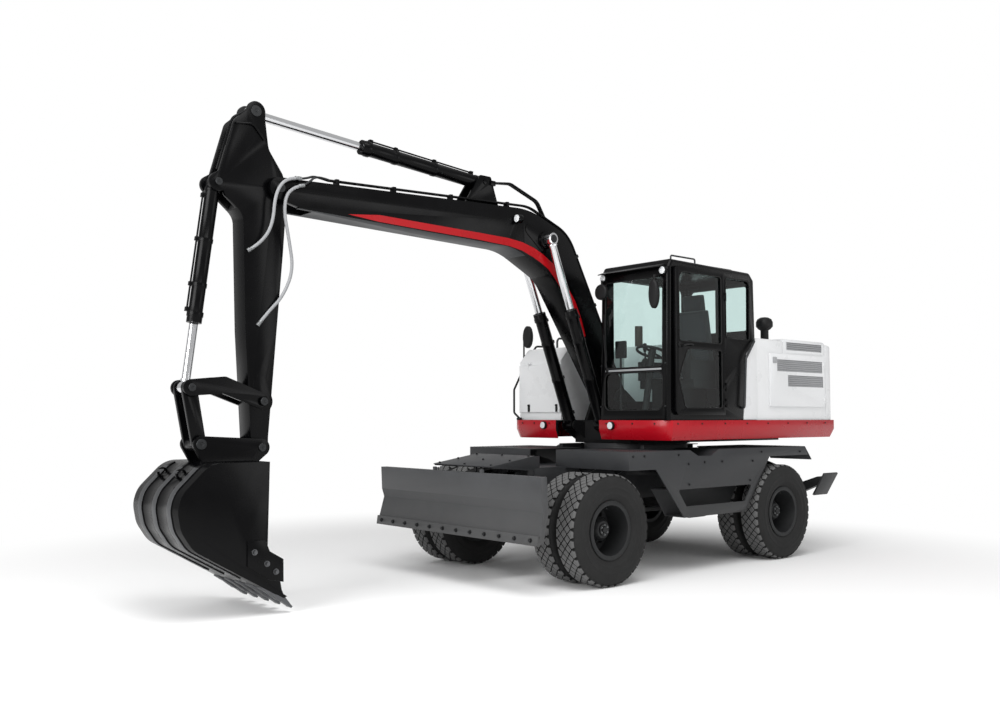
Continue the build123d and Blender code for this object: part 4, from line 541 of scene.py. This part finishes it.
for sign in (1, -1):
    deck_bolts += [(at(x, sign * DECK_SIDE_Y, z), (0, sign, 0)) for x, z in (
        (1420, 1205), (1256, 1205), (726, 1205), (-726, 1205), (-1494, 1190), (566, 1110), (-554, 1110),
        (560, 900), (-500, 900), (300, 1120), (0, 1120))]
hexagon_heads("deck_bolts", "undercarriage", deck_bolts, 17, dark_steel)
finished("blade_cover", deck_enamel, 2.0)
# The cover falls 0.1526 mm for each mm forward of x = 2010, where its top is 1207.5 mm high.
cover_bolts = [(at(x, y, 1207.5 - (x - 2010) * 0.1526), (0.151, 0, 0.988)) for x in (2050, 2300, 2540)
               for y in (-400, 0, 400)]
hexagon_heads("cover_bolts", "undercarriage", cover_bolts, 17, dark_steel)

# Dozer blade: folded plate with a bolted cutting edge of abrasion-resistant steel.
# The edge's paint is rubbed to dull steel where it meets the ground.
blade_enamel = enamel("blade_satin_enamel", "#414244", 0.38, specular=0.35, dust=0.12, grime="#55534f")
worn_edge = metal("scoured_edge_steel", "#7b7c7d", 0.45, 0.2, grain=25.0)
CUTTING_EDGE_TOP = 0.4655
BLADE_BACK_X = 1.08
finished("blade", blade_enamel, 3.0, [
    (worn_edge, lambda c, n: c.z < CUTTING_EDGE_TOP and c.x > BLADE_BACK_X)])
for node in ("blade_arms", "blade_link"):
    finished(node, chassis_enamel, 4.0)
edge_bolts = [(at(2729, -1155 + number * 210, 505), (0.99, 0, 0.13)) for number in range(12)]
hexagon_heads("cutting_edge_bolts", "blade", edge_bolts, 26, dark_steel)
chrome = metal("hard_chrome", "#e2e3e5", 0.08, 0.1)
black_enamel = enamel("black_gloss_enamel", "#040405", 0.2, specular=0.13, dust=0.2)
finished("blade_cylinder_barrels", black_enamel, 2.0)
finished("blade_cylinder_rods", chrome, 1.5)

# Rear stabilisers: box-section legs with square feet, each pushed down by its cylinder.
# They share the frame's satin enamel, and their cylinders are finished as the blade's are.
for side in ("left", "right"):
    finished(f"stabiliser_{side}", chassis_enamel, 4.0)
    finished(f"stabiliser_cylinder_barrel_{side}", black_enamel, 2.0)
    finished(f"stabiliser_cylinder_rod_{side}", chrome, 1.5)

# Platform: the upper structure's welded deck, with a folded skirt sprayed gloss crimson.
# Screws hold the skirt. The deck, its underside and the boom's recess are a dull black.
crimson_enamel = enamel("crimson_gloss_enamel", "#a50618", 0.22, specular=0.3, dust=0.05)
# The same near-black is painted shade inside the engine housing and the toolbox.
deck_black_and_painted_shade = enamel("deck_black_and_painted_shade_enamel", "#101011", 0.5, specular=0.2)
finished("platform", crimson_enamel, 4.0, [
    (deck_black_and_painted_shade, lambda c, n: abs(c.y) < 1.02 and x_between(c, -2270, 770) or c.z > 1.557
     or -0.446 < c.y < 0.226 and c.x < at(845, 0, 0).x)])
SCREW_Z = 1520
skirt_screws = [(at(x, sign * 1180, SCREW_Z), (0, sign, 0)) for sign in (1, -1)
                for x in (700, 300, -100, -500, -900, -1300, -1700, -2100)]
skirt_screws += [(at(850, y, SCREW_Z), (1, 0, 0)) for y in (1000, 700, 330, -550, -800, -1000)]
hexagon_heads("skirt_screws", "upper", skirt_screws, 12, dark_steel)


# Engine housing, hood, side doors and counterweight: pressed and cast steel sprayed gloss white.
# The grilles' recesses and slats are painted light grey as shade. Each side door is held by a flush grey
# latch.
def plate(name, corners, thickness_mm, direction, round_mm=0.0, edge_mm=1.5):
    """A plate cut to an outline of corners and thickened along a direction, with eased edges."""
    bpy.ops.mesh.primitive_circle_add(vertices=len(corners), radius=0.1, fill_type="NGON", location=(0, 0, 0))
    piece = bpy.context.active_object
    for vertex, corner in zip(piece.data.vertices, corners):
        vertex.co = corner
    edit("VERT")
    if round_mm:
        bpy.ops.mesh.bevel(offset=round_mm / 1000, segments=5, affect="VERTICES")
    rise = Vector(direction) * thickness_mm / 1000
    bpy.ops.mesh.extrude_region_move(TRANSFORM_OT_translate={"value": rise})
    bpy.ops.mesh.select_all(action="SELECT")
    bpy.ops.mesh.normals_make_consistent(inside=False)
    leave_edit()
    if edge_mm:
        ease_edges(piece, edge_mm)
    piece.name = name
    return piece


white_enamel = enamel("white_gloss_enamel", "#dfe0e1", 0.25, specular=0.4, dust=0.02)
# This grey is the latches' own colour, and painted shade in the grilles' recesses.
latch_grey_and_recess_shade = enamel("grey_latch_and_painted_recess_shade", "#a4a5a7", 0.5, specular=0.3)
black_plastic = enamel("moulded_black_plastic", "#121213", 0.5, specular=0.25)
finished("counterweight", white_enamel, 5.0)
# The housing's inner walls are painted near-black: painted shade.
finished("engine_housing", white_enamel, 3.0, [
    (deck_black_and_painted_shade, lambda c, n: abs(c.y) < 1.134 and x_between(c, -2124, -746) and c.z < 2.304)])
# The hood's grille recess is painted grey: painted shade.
finished("hood", white_enamel, 3.0, [
    (latch_grey_and_recess_shade, lambda c, n: 1.13 < abs(c.y) < 1.1595 and x_between(c, -2090, -1325)
     and 2.364 < c.z < 2.462)])
LATCH_SEAT_Y = 1182.4
GRIP_SEAT_Y = 1187.2
# The doors' grille recesses are painted grey too: painted shade.
for side, sign in (("left", 1), ("right", -1)):
    finished(f"side_door_{side}", white_enamel, 2.0, [
        (latch_grey_and_recess_shade, lambda c, n: abs(c.y) < 1.1818 and x_between(c, -2074, -1098)
         and (2.112 < c.z < 2.253 or 1.94 < c.z < 2.077 and c.x < at(-1316, 0, 0).x))])
    latch = plate("latch", [at(x, sign * LATCH_SEAT_Y, z) for x, z in (
        (-1010, 2205), (-1010, 2275), (-1090, 2275), (-1090, 2205))], 5, (0, sign, 0), 10)
    grip = plate("grip", [at(x, sign * GRIP_SEAT_Y, z) for x, z in (
        (-1022, 2222), (-1022, 2258), (-1078, 2258), (-1078, 2222))], 5, (0, sign, 0), 6)
    settle(joined([latch, grip], "latch"), f"side_door_latch_{side}", f"side_door_{side}", latch_grey_and_recess_shade)
# The body side reaches forward to the cab's slanted rear edge on the left.
body_side = plate("body_side", [at(x, 1160.2, z) for x, z in (
    (-719, 1560), (-458, 1560), (-529, 2283), (-719, 2474))], 5, (0, 1, 0))
settle(body_side, "body_side_plate", "upper", white_enamel)
weight_bolts = [(at(-2438.2, y, z), (-1, 0, 0)) for y in (-560, 560) for z in (1820, 2180)]
hexagon_heads("counterweight_bolts", "upper", weight_bolts, 14, dark_steel)


# Engine: a cast block under the hood, with its valve cover, filters and injector lines.
# It shows through the open side doors and under the raised hood.
def spline_tube(name, points, radius_mm, along, around):
    """A round tube on a smooth spline that the points steer, with its steps along and around it."""
    line = bpy.data.curves.new(name, "CURVE")
    line.dimensions = "3D"
    spline = line.splines.new("NURBS")
    spline.points.add(len(points) - 1)
    for spot, point in zip(spline.points, points):
        spot.co = (*point, 1.0)
    spline.order_u = 3
    spline.use_endpoint_u = True
    line.resolution_u = along
    line.bevel_depth = radius_mm / 1000
    line.bevel_resolution = around
    line.use_fill_caps = True
    return placed(name, line)


def tube(name, points, radius_mm):
    """Such a tube as a mesh."""
    only(spline_tube(name, points, radius_mm, 8, 6))
    bpy.ops.object.convert(target="MESH")
    return bpy.context.active_object


engine_paint = enamel("engine_iron_paint", "#3a3d40", 0.5, dust=0.15)
finished("engine", engine_paint, 12.0)
BLOCK_TOP_Z = 2250
CYLINDER_PITCH = 112
cover = plate("cover", [at(x, y, BLOCK_TOP_Z) for x, y in (
    (-1780, -170), (-1100, -170), (-1100, 170), (-1780, 170))], 78, (0, 0, 1), 40, 14)
settle(cover, "valve_cover", "upper", dark_steel)
cover_nuts = [(at(-1720 + CYLINDER_PITCH * number, y, BLOCK_TOP_Z + 78), (0, 0, 1)) for number in range(6)
              for y in (-110, 110)]
hexagon_heads("valve_cover_bolts", "upper", cover_nuts, 17, zinc_steel)
for name, x, y, radius, height in (("air_filter", -1240, 430, 110, 150), ("fuel_filter", -1500, 420, 55, 130),
                                   ("oil_filter", -1680, 420, 60, 120)):
    profile = [(0.01, 0), (radius * 0.8, 0), (radius * 0.8, 14), (radius, 18), (radius, height * 0.8),
               (radius * 0.93, height * 0.83), (radius * 0.93, height * 0.88), (radius, height * 0.9),
               (radius * 0.95, height), (0.01, height)]
    can = turned(name, profile, at(x, y, BLOCK_TOP_Z), (0, 0, 1))
    settle(can, name, "upper", black_plastic)
injector_lines = []
for number in range(6):
    x = -1740 + CYLINDER_PITCH * number
    injector_lines.append(tube("line", [at(x, -168, 2290), at(x, -230, 2330), at(x, -330, 2310),
                                        at(-1700 + 80 * number, -380, 2252)], 5))
settle(joined(injector_lines, "lines"), "injector_lines", "upper", zinc_steel)

# Tank and toolbox: one welded white box at the right front, its door held by two rubber latches.
# The filler neck carries a black screw cap.
# The toolbox's inside is painted near-black: painted shade.
finished("tank", white_enamel, 3.0, [
    (black_plastic, lambda c, n: c.z > 2.4335 and abs(c.y + 0.82) < 0.07),
    (deck_black_and_painted_shade, lambda c, n: x_between(c, 418, 738) and -1.136 < c.y < -0.499 and 1.669 < c.z < 2.171)])
finished("toolbox_lid", white_enamel, 2.0)
for number, y in enumerate((-986, -520)):
    strap = plate("strap", [at(762.3, y + dy, z) for dy, z in (
        (-16, 1648), (16, 1648), (16, 1738), (-16, 1738))], 8, (1, 0, 0), 10)
    knob = turned("knob", [(0.01, 0), (13, 0), (13, 9), (9, 12), (0.01, 12)], at(770, y, 1724), (1, 0, 0), 20)
    settle(joined([strap, knob], "strap"), f"toolbox_latch_{number}", "toolbox_lid", black_plastic)

# Cab: a welded tube frame behind pressed panels, sprayed gloss black, with bonded tinted glass.
# Extruded rubber seals run round the panes. The door hangs on three hinges.
glass, tree = new_material("tinted_safety_glass")
clear = add_node(tree, "ShaderNodeBsdfTransparent", {"Color": linear("#f1f8f7")})
shine = add_node(tree, "ShaderNodeBsdfGlossy", {"Color": linear("#ffffff"), "Roughness": 0.02})
mirrored = add_node(tree, "ShaderNodeFresnel", {"IOR": 1.5})
# Light isn't bent here, so only the face that it meets first reflects it.
side_met = add_node(tree, "ShaderNodeNewGeometry")
met_first = add_node(tree, "ShaderNodeMath", {
    0: 1.0, 1: side_met.outputs["Backfacing"]}, operation="SUBTRACT")
mirrored = add_node(tree, "ShaderNodeMath", {
    0: mirrored.outputs[0], 1: met_first.outputs[0]}, operation="MULTIPLY")
pane = add_node(tree, "ShaderNodeMixShader", {
    0: mirrored.outputs[0], 1: clear.outputs[0], 2: shine.outputs[0]})
add_node(tree, "ShaderNodeOutputMaterial", {"Surface": pane.outputs[0]})
seal_rubber = rubber("window_seal_rubber", "#131313", 0.7)
for node in ("cab_frame", "cab_door"):
    finished(node, black_enamel, 3.0)
for node in ("cab_glass", "door_glass"):
    finished(node, glass, 0)


def seal(name, corners, round_mm, radius_mm):
    """A rubber bead that runs once round an opening with rounded corners."""
    bpy.ops.mesh.primitive_circle_add(vertices=len(corners), radius=0.1, fill_type="NGON", location=(0, 0, 0))
    line = bpy.context.active_object
    for vertex, corner in zip(line.data.vertices, corners):
        vertex.co = corner
    edit("VERT")
    bpy.ops.mesh.bevel(offset=round_mm / 1000, segments=6, affect="VERTICES")
    bpy.ops.mesh.delete(type="ONLY_FACE")
    leave_edit()
    bpy.ops.object.convert(target="CURVE")
    line = bpy.context.active_object
    line.data.bevel_depth = radius_mm / 1000
    line.data.bevel_resolution = 2
    bpy.ops.object.convert(target="MESH")
    line = bpy.context.active_object
    line.name = name
    return line


# The cab's raked front, as its x at the heights where its panes begin and end.
front_x = {2110: 819.5, 3040: 801.9, 1660: 828.0, 2055: 820.5}
CAB_LEFT_Y = 1164
CAB_RIGHT_Y = 216
DOOR_FACE_Y = 1204
bands = []
for low_z, high_z, round_mm in ((2110, 3040, 45), (1660, 2055, 70)):
    bands.append(seal("seal", [at(front_x[low_z] - 2, 290, low_z), at(front_x[low_z] - 2, 1085, low_z),
                               at(front_x[high_z] - 2, 1085, high_z), at(front_x[high_z] - 2, 290, high_z)],
                      round_mm, 7))
for y, outline in (
        (CAB_LEFT_Y, [(-160, 2440), (-590, 2440), (-600, 3060), (-560, 3100), (-160, 3100)]),
        (CAB_RIGHT_Y, [(640, 1760), (640, 3100), (-560, 3100), (-600, 3060), (-600, 2560), (-330, 2300),
                       (-330, 1760)])):
    bands.append(seal("seal", [at(x, y, z) for x, z in outline], 28, 6))
settle(joined(bands, "seals"), "cab_window_seals", "upper", seal_rubber)
door_bands = [seal("seal", [at(x, DOOR_FACE_Y, z) for x, z in outline], 32, 6) for outline in (
    [(-25, 2370), (-25, 3090), (640, 3090), (690, 3030), (690, 2370)],
    [(-25, 1685), (-25, 2300), (550, 2300), (625, 2160), (700, 1980), (600, 1685)])]
settle(joined(door_bands, "seals"), "door_window_seals", "cab_door", seal_rubber)
bar_grey = enamel("grey_satin_enamel", "#8f9193", 0.35)
cross_bar = plate("bar", [at(822, 300, 2073), at(822, 1075, 2073), at(822, 1075, 2093), at(822, 300, 2093)],
                  5, (1, 0, 0), 6)
settle(cross_bar, "windscreen_cross_bar", "upper", bar_grey)
wiper_arm = tube("wiper", [at(828, 330, 2090), at(836, 322, 2160), at(836, 300, 2330), at(826, 282, 2480)], 5)
wiper_blade = plate("blade", [at(823, y, z) for y, z in ((316, 2190), (326, 2190), (292, 2700), (282, 2700))],
                    9, (1, 0, 0), 4)
wiper_hub = turned("hub", [(0.01, 0), (20, 0), (20, 12), (14, 18), (0.01, 18)], at(820, 330, 2090),
                   (1, 0, 0), 24)
settle(joined([wiper_arm, wiper_blade, wiper_hub], "wiper"), "windscreen_wiper", "upper", black_plastic)
handle = tube("handle", [at(655, 1205, 2315), at(655, 1240, 2315), at(655, 1246, 2330), at(560, 1246, 2340),
                         at(500, 1246, 2335), at(500, 1205, 2330)], 9)
lock = turned("lock", [(0.01, 0), (24, 0), (24, 5), (20, 8), (9, 8), (9, 5), (0.01, 5)],
              at(690, 1205.2, 2330), (0, 1, 0), 28)
settle(joined([handle, lock], "handle"), "door_handle", "cab_door", black_plastic)
cab_bolts = [(at(front_x[low], y, z), (1, 0, 0.02)) for low, y, z in (
    (2110, 240, 2140), (2110, 1125, 2140), (1660, 240, 1700), (1660, 1125, 1700))]
hexagon_heads("cab_front_bolts", "upper", cab_bolts, 14, dark_steel)

# Seat: foam cushions under a woven charcoal cover, sewn with piping along their edges.
# The cushion, the back and the headrest are separate pads on the seat's base.
cloth, tree = new_material("woven_seat_cloth")
place = add_node(tree, "ShaderNodeTexCoord")
# The weave's threads are 1 mm apart. They are drawn 4 mm apart so that they show.
warp, weft = [add_node(tree, "ShaderNodeTexWave", {
    "Vector": place.outputs["Object"], "Scale": 80.0, "Distortion": 0.6}, bands_direction=way)
    for way in ("X", "Y")]
weave = add_node(tree, "ShaderNodeMath", {
    0: warp.outputs["Fac"], 1: weft.outputs["Fac"]}, operation="MULTIPLY")
tone = add_node(tree, "ShaderNodeMix", {
    0: weave.outputs[0], 6: linear("#242629"), 7: linear("#3c3f43")}, data_type="RGBA")
bump = add_node(tree, "ShaderNodeBump", {"Height": weave.outputs[0], "Strength": 0.4, "Distance": 0.001})
film = add_node(tree, "ShaderNodeBsdfPrincipled", {
    "Base Color": tone.outputs[2], "Roughness": 0.9, "Normal": bump.outputs["Normal"], "Sheen Weight": 0.25,
    "Specular IOR Level": 0.2})
add_node(tree, "ShaderNodeOutputMaterial", {"Surface": film.outputs[0]})


def cushion(name, size, centre, lean, crown_mm):
    """A padded block that swells in the middle of its top, with piping round its edges."""
    bpy.ops.mesh.primitive_cube_add(size=1.0, location=(0, 0, 0))
    pad = bpy.context.active_object
    for vertex in pad.data.vertices:
        vertex.co = [a * b / 1000 for a, b in zip(vertex.co, size)]
    for top in (1, -1):
        for face in pad.data.polygons:
            on_face = abs(face.center.z * top - size[2] / 2000) < 0.001
            face.select = face.normal.z * top > 0.9 and on_face
        bpy.ops.object.mode_set(mode="EDIT")
        bpy.ops.mesh.select_mode(type="FACE")
        for step, rise in ((0.035, 0.55), (0.05, 0.35), (0.05, 0.1)):
            bpy.ops.mesh.inset(thickness=step, depth=rise * crown_mm / 1000)
        bpy.ops.mesh.select_all(action="DESELECT")
        leave_edit()
    ease_edges(pad, 22, 3, 50)
    swell = pad.modifiers.new("swell", "SUBSURF")
    swell.levels = 1
    bpy.ops.object.modifier_apply(modifier=swell.name)
    turn = Matrix.Translation(centre) @ Matrix.Rotation(math.radians(lean), 4, "Y")
    pieces = [pad]
    # The piping runs 6 mm inside the block's outline.
    half = [length / 2000 - 0.006 for length in size]
    for level in (1, -1):
        corners = [(a * half[0], b * half[1], level * half[2])
                   for a, b in ((-1, -1), (1, -1), (1, 1), (-1, 1))]
        pieces.append(seal("piping", corners, 30, 3.5))
    for piece in pieces:
        piece.data.transform(turn)
    settle(joined(pieces, name), name, "upper", cloth, 60)
    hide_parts("seat")


cushion("seat_cushion", (490, 480, 104), at(75, 690, 2063), 0, 9)
cushion("seat_back", (690, 470, 92), at(-181, 690, 2418), -81, 7)
cushion("seat_headrest", (200, 250, 76), at(-222, 690, 2850), -81, 6)

# Controls: moulded consoles each side of the seat, a steering column, two levers and a screen.
# They are textured black plastic, the levers with ribbed rubber boots.
finished("controls", black_plastic, 4.0)
lever_profile = [(0.01, 0), (48, 0), (46, 8), (38, 12), (40, 20), (32, 26), (33, 34), (24, 40), (12, 46),
                 (10, 110), (18, 125), (24, 150), (25, 185), (20, 205), (10, 212), (0.01, 213)]
for number, y in enumerate((375, 1005)):
    lever = turned("lever", lever_profile, at(250, y, 2200), (0.05, 0, 1), 28)
    settle(lever, f"joystick_{number}", "upper", seal_rubber)
screen = plate("screen", [at(600, y, z) for y, z in ((262, 2230), (412, 2230), (412, 2420), (262, 2420))],
               26, (1, 0, 0), 14, 4)
stalk = tube("stalk", [at(618, 337, 1640), at(618, 337, 1900), at(618, 337, 2240)], 12)
settle(joined([screen, stalk], "screen"), "display_screen", "upper", black_plastic)

# Mirrors: moulded black shells on steel tubes, their glass facing back to the operator.
# The camera beside the right mirror is of the same plastic.
mirror_glass = metal("silvered_mirror_glass", "#d5d9db", 0.03, 0.02)
finished("mirrors", black_plastic, 2.0, [
    (mirror_glass, lambda c, n: n.x < -0.95 and c.z > 2.4 and c.x > at(625, 0, 0).x)])

# Air pre-cleaner and exhaust: a moulded black bowl on the left, a steel pipe with a cut end on the right.
# The pipe is browned by heat.
hot_steel = metal("heat_browned_steel", "#4f4742", 0.45, 0.2)
finished("exhaust", black_plastic, 1.5, [(hot_steel, lambda c, n: c.y < 0)])

# Handrails and work lamps: bent steel tube, and round lamps with clear moulded lenses.
# Each lamp's shell is black plastic.
rail_enamel = enamel("rail_black_enamel", "#26282a", 0.3)
finished("handrails", rail_enamel, 0)
lens, tree = new_material("clear_lamp_lens")
place = add_node(tree, "ShaderNodeTexCoord")
# The lens is moulded with ribs 6 mm apart.
ribbed = add_node(tree, "ShaderNodeTexWave", {"Vector": place.outputs["Object"], "Scale": 52.0},
                  bands_direction="Y")
bump = add_node(tree, "ShaderNodeBump", {"Height": ribbed.outputs["Fac"], "Strength": 0.5, "Distance": 0.002})
film = add_node(tree, "ShaderNodeBsdfPrincipled", {
    "Base Color": linear("#d9dcde"), "Roughness": 0.12, "Normal": bump.outputs["Normal"], "Coat Weight": 0.6})
add_node(tree, "ShaderNodeOutputMaterial", {"Surface": film.outputs[0]})
finished("work_lamps", black_plastic, 1.0, [(lens, lambda c, n: n.x > 0.95)])

# Boom: a box beam of welded plate sprayed gloss black, with a red band along each side.
# The front run of its underside is painted greyer: a painted reflection. Its lamp has the work lamps' lens.
# This grey is a painted reflection on the boom's underside.
boom_underside_reflection_grey = enamel("boom_underside_reflection_enamel", "#36383a", 0.4, specular=0.25, dust=0.15)
boom_y = -110
finished("boom", black_enamel, 4.0, [
    (boom_underside_reflection_grey, lambda c, n: n.z < -0.35 and x_between(c, 1750, 4420)
     and abs(c.y - boom_y / 1000) < 0.14 and c.z < 3.42),
    (lens, lambda c, n: n.x > 0.9 and abs(c.y - 0.095) < 0.05 and 3.59 < c.z < 3.69
     and c.x > at(1925, 0, 0).x)])
stripe_red = enamel("red_band_enamel", "#a0040f", 0.25, specular=0.2)
band_top = [(3930, 3416), (3589, 3455), (3000, 3447), (2395, 3440), (1998, 3433), (1800, 3413), (1631, 3370),
            (1500, 3316), (1361, 3236), (1250, 3130), (1130, 2990), (1028, 2866), (940, 2700), (859, 2481)]
band_bottom = [(3598, 3391), (3000, 3378), (2395, 3368), (1985, 3352), (1810, 3325), (1650, 3272),
               (1540, 3226), (1426, 3166), (1323, 3070), (1203, 2930), (1110, 2830), (1013, 2668),
               (909, 2459)]
BAND_SEAT = 150.05
bands = []
for sign in (1, -1):
    outline = [at(x, boom_y + sign * BAND_SEAT, z) for x, z in band_top + band_bottom[::-1]]
    bands.append(plate("band", outline, 0.6, (0, sign, 0), 0, 0))
settle(joined(bands, "bands"), "boom_bands", "boom", stripe_red)
# Unions where the boom's pipes pass round to its left side and meet the hoses.
unions = [tube("union", [at(x, boom_y + y, z) for x, y, z in line], 10) for line in (
    [(4118, 133, 3698), (4190, 150, 3704), (4290, 170, 3694), (4340, 174, 3640), (4400, 172, 3600)],
    [(4118, 109, 3698), (4200, 122, 3706), (4300, 160, 3700), (4360, 172, 3672), (4430, 172, 3655)])]
settle(joined(unions, "unions"), "boom_tip_pipes", "boom", dark_steel)

# Arm, rocker, link and bucket: welded plate sprayed gloss black, turning on hardened pins.
# Digging has scoured the bucket's lip, teeth and wear straps to grey steel.
# Turned steel caps close the ends of the pins.
scoured = metal("scoured_bucket_steel", "#616264", 0.38, 0.22, grain=22.0)
for node, edge_mm in (("arm", 4.0), ("rocker", 3.0), ("bucket_link", 3.0)):
    finished(node, black_enamel, edge_mm)


def on_strap(c, n):
    """Whether a face lies on one of the three straps, 80 mm wide, round the bucket's back."""
    y = c.y * 1000 - boom_y
    on_back = any(low < y < low + 80 for low in (-330, -40, 250)) and (n.x > 0.2 or n.z < -0.2)
    return on_back and c.z < 1.19 and c.x > at(5000, 0, 0).x


finished("bucket", black_enamel, 2.5, [
    (scoured, lambda c, n: on_strap(c, n) or c.z < 0.28 and c.x < at(4890, 0, 0).x)])
# The pins of each body, as (x, z, half length, cap radius).
caps = {"boom": [(4610, 3550, 164, 40)], "upper": [(300, 1800, 207, 45), (700, 1500, 335, 38)],
        "arm": [(4820, 4190, 100, 48), (5150, 3530, 112, 32), (4730, 1720, 148, 34)],
        "rocker": [(5360, 1825, 146, 32)], "bucket": [(4740, 1335, 147, 34), (5270, 1370, 135, 44)],
        "boom_cylinder_rods": [(1480, 3470, 290, 44)]}
for body, pins in caps.items():
    discs = []
    for x, z, half, radius in pins:
        profile = [(0.01, 0), (radius, 0), (radius, 4), (radius - 3, 7), (radius * 0.4, 7),
                   (radius * 0.34, 4), (radius * 0.16, 4), (radius * 0.14, 7), (0.01, 7)]
        for sign in (1, -1):
            discs.append(turned("cap", profile, at(x, boom_y + sign * half, z), (0, sign, 0), 36))
    settle(joined(discs, "caps"), f"pin_caps_{body}", body, dark_steel)
cutter_bolts = [(at(x, boom_y + sign * 466, z), (0, sign, 0)) for sign in (1, -1)
                for x, z in ((4770, 350), (4850, 420), (4960, 520))]
hexagon_heads("side_cutter_bolts", "bucket", cutter_bolts, 30, scoured)

# Hydraulic cylinders: honed barrels sprayed black, with ground chrome rods.
# The glands, clamps and pipes on the barrels are sprayed with them.
for node in ("boom_cylinder_barrels", "arm_cylinder_barrel", "bucket_cylinder_barrel"):
    finished(node, black_enamel, 2.0)
for node in ("boom_cylinder_rods", "arm_cylinder_rod", "bucket_cylinder_rod"):
    finished(node, chrome, 1.5)

# Hoses: two-wire hydraulic hose in a light grey woven sleeve, hanging in loops between the boom's tip
# and the arm. Each end is crimped into a plated steel ferrule.
sleeve = rubber("grey_hose_sleeve", "#8b8c8e", 0.6, dust=1.2)
HOSE_MM = 28
for name, length, route in (
        ("hose_front", 0.9, [(4430, 172, 3655), (4560, 186, 3650), (4676, 186, 3500), (4690, 178, 3217),
                             (4780, 140, 3052), (4880, 104, 2985)]),
        ("hose_rear", 1.4, [(4400, 172, 3600), (4540, 186, 3560), (4600, 186, 3380), (4530, 170, 3100),
                            (4475, 150, 2853), (4560, 128, 2620), (4690, 116, 2480), (4780, 104, 2360)])):
    points = [at(x, boom_y + y, z) for x, y, z in route]
    hose = spline_tube(name, points, HOSE_MM / 2, 16, 5)
    hose.data.materials.append(sleeve)
    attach(hose, "arm")
    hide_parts("arm_hoses")
    ferrules = [turned("ferrule", [(10, -4), (19, -4), (19, 22), (17, 24), (17, 52), (15, 56), (14.2, 56)],
                       points[end], points[near] - points[end], 28) for end, near in ((0, 1), (-1, -2))]
    settle(joined(ferrules, "ferrules"), name + "_ferrules", "arm", zinc_steel)
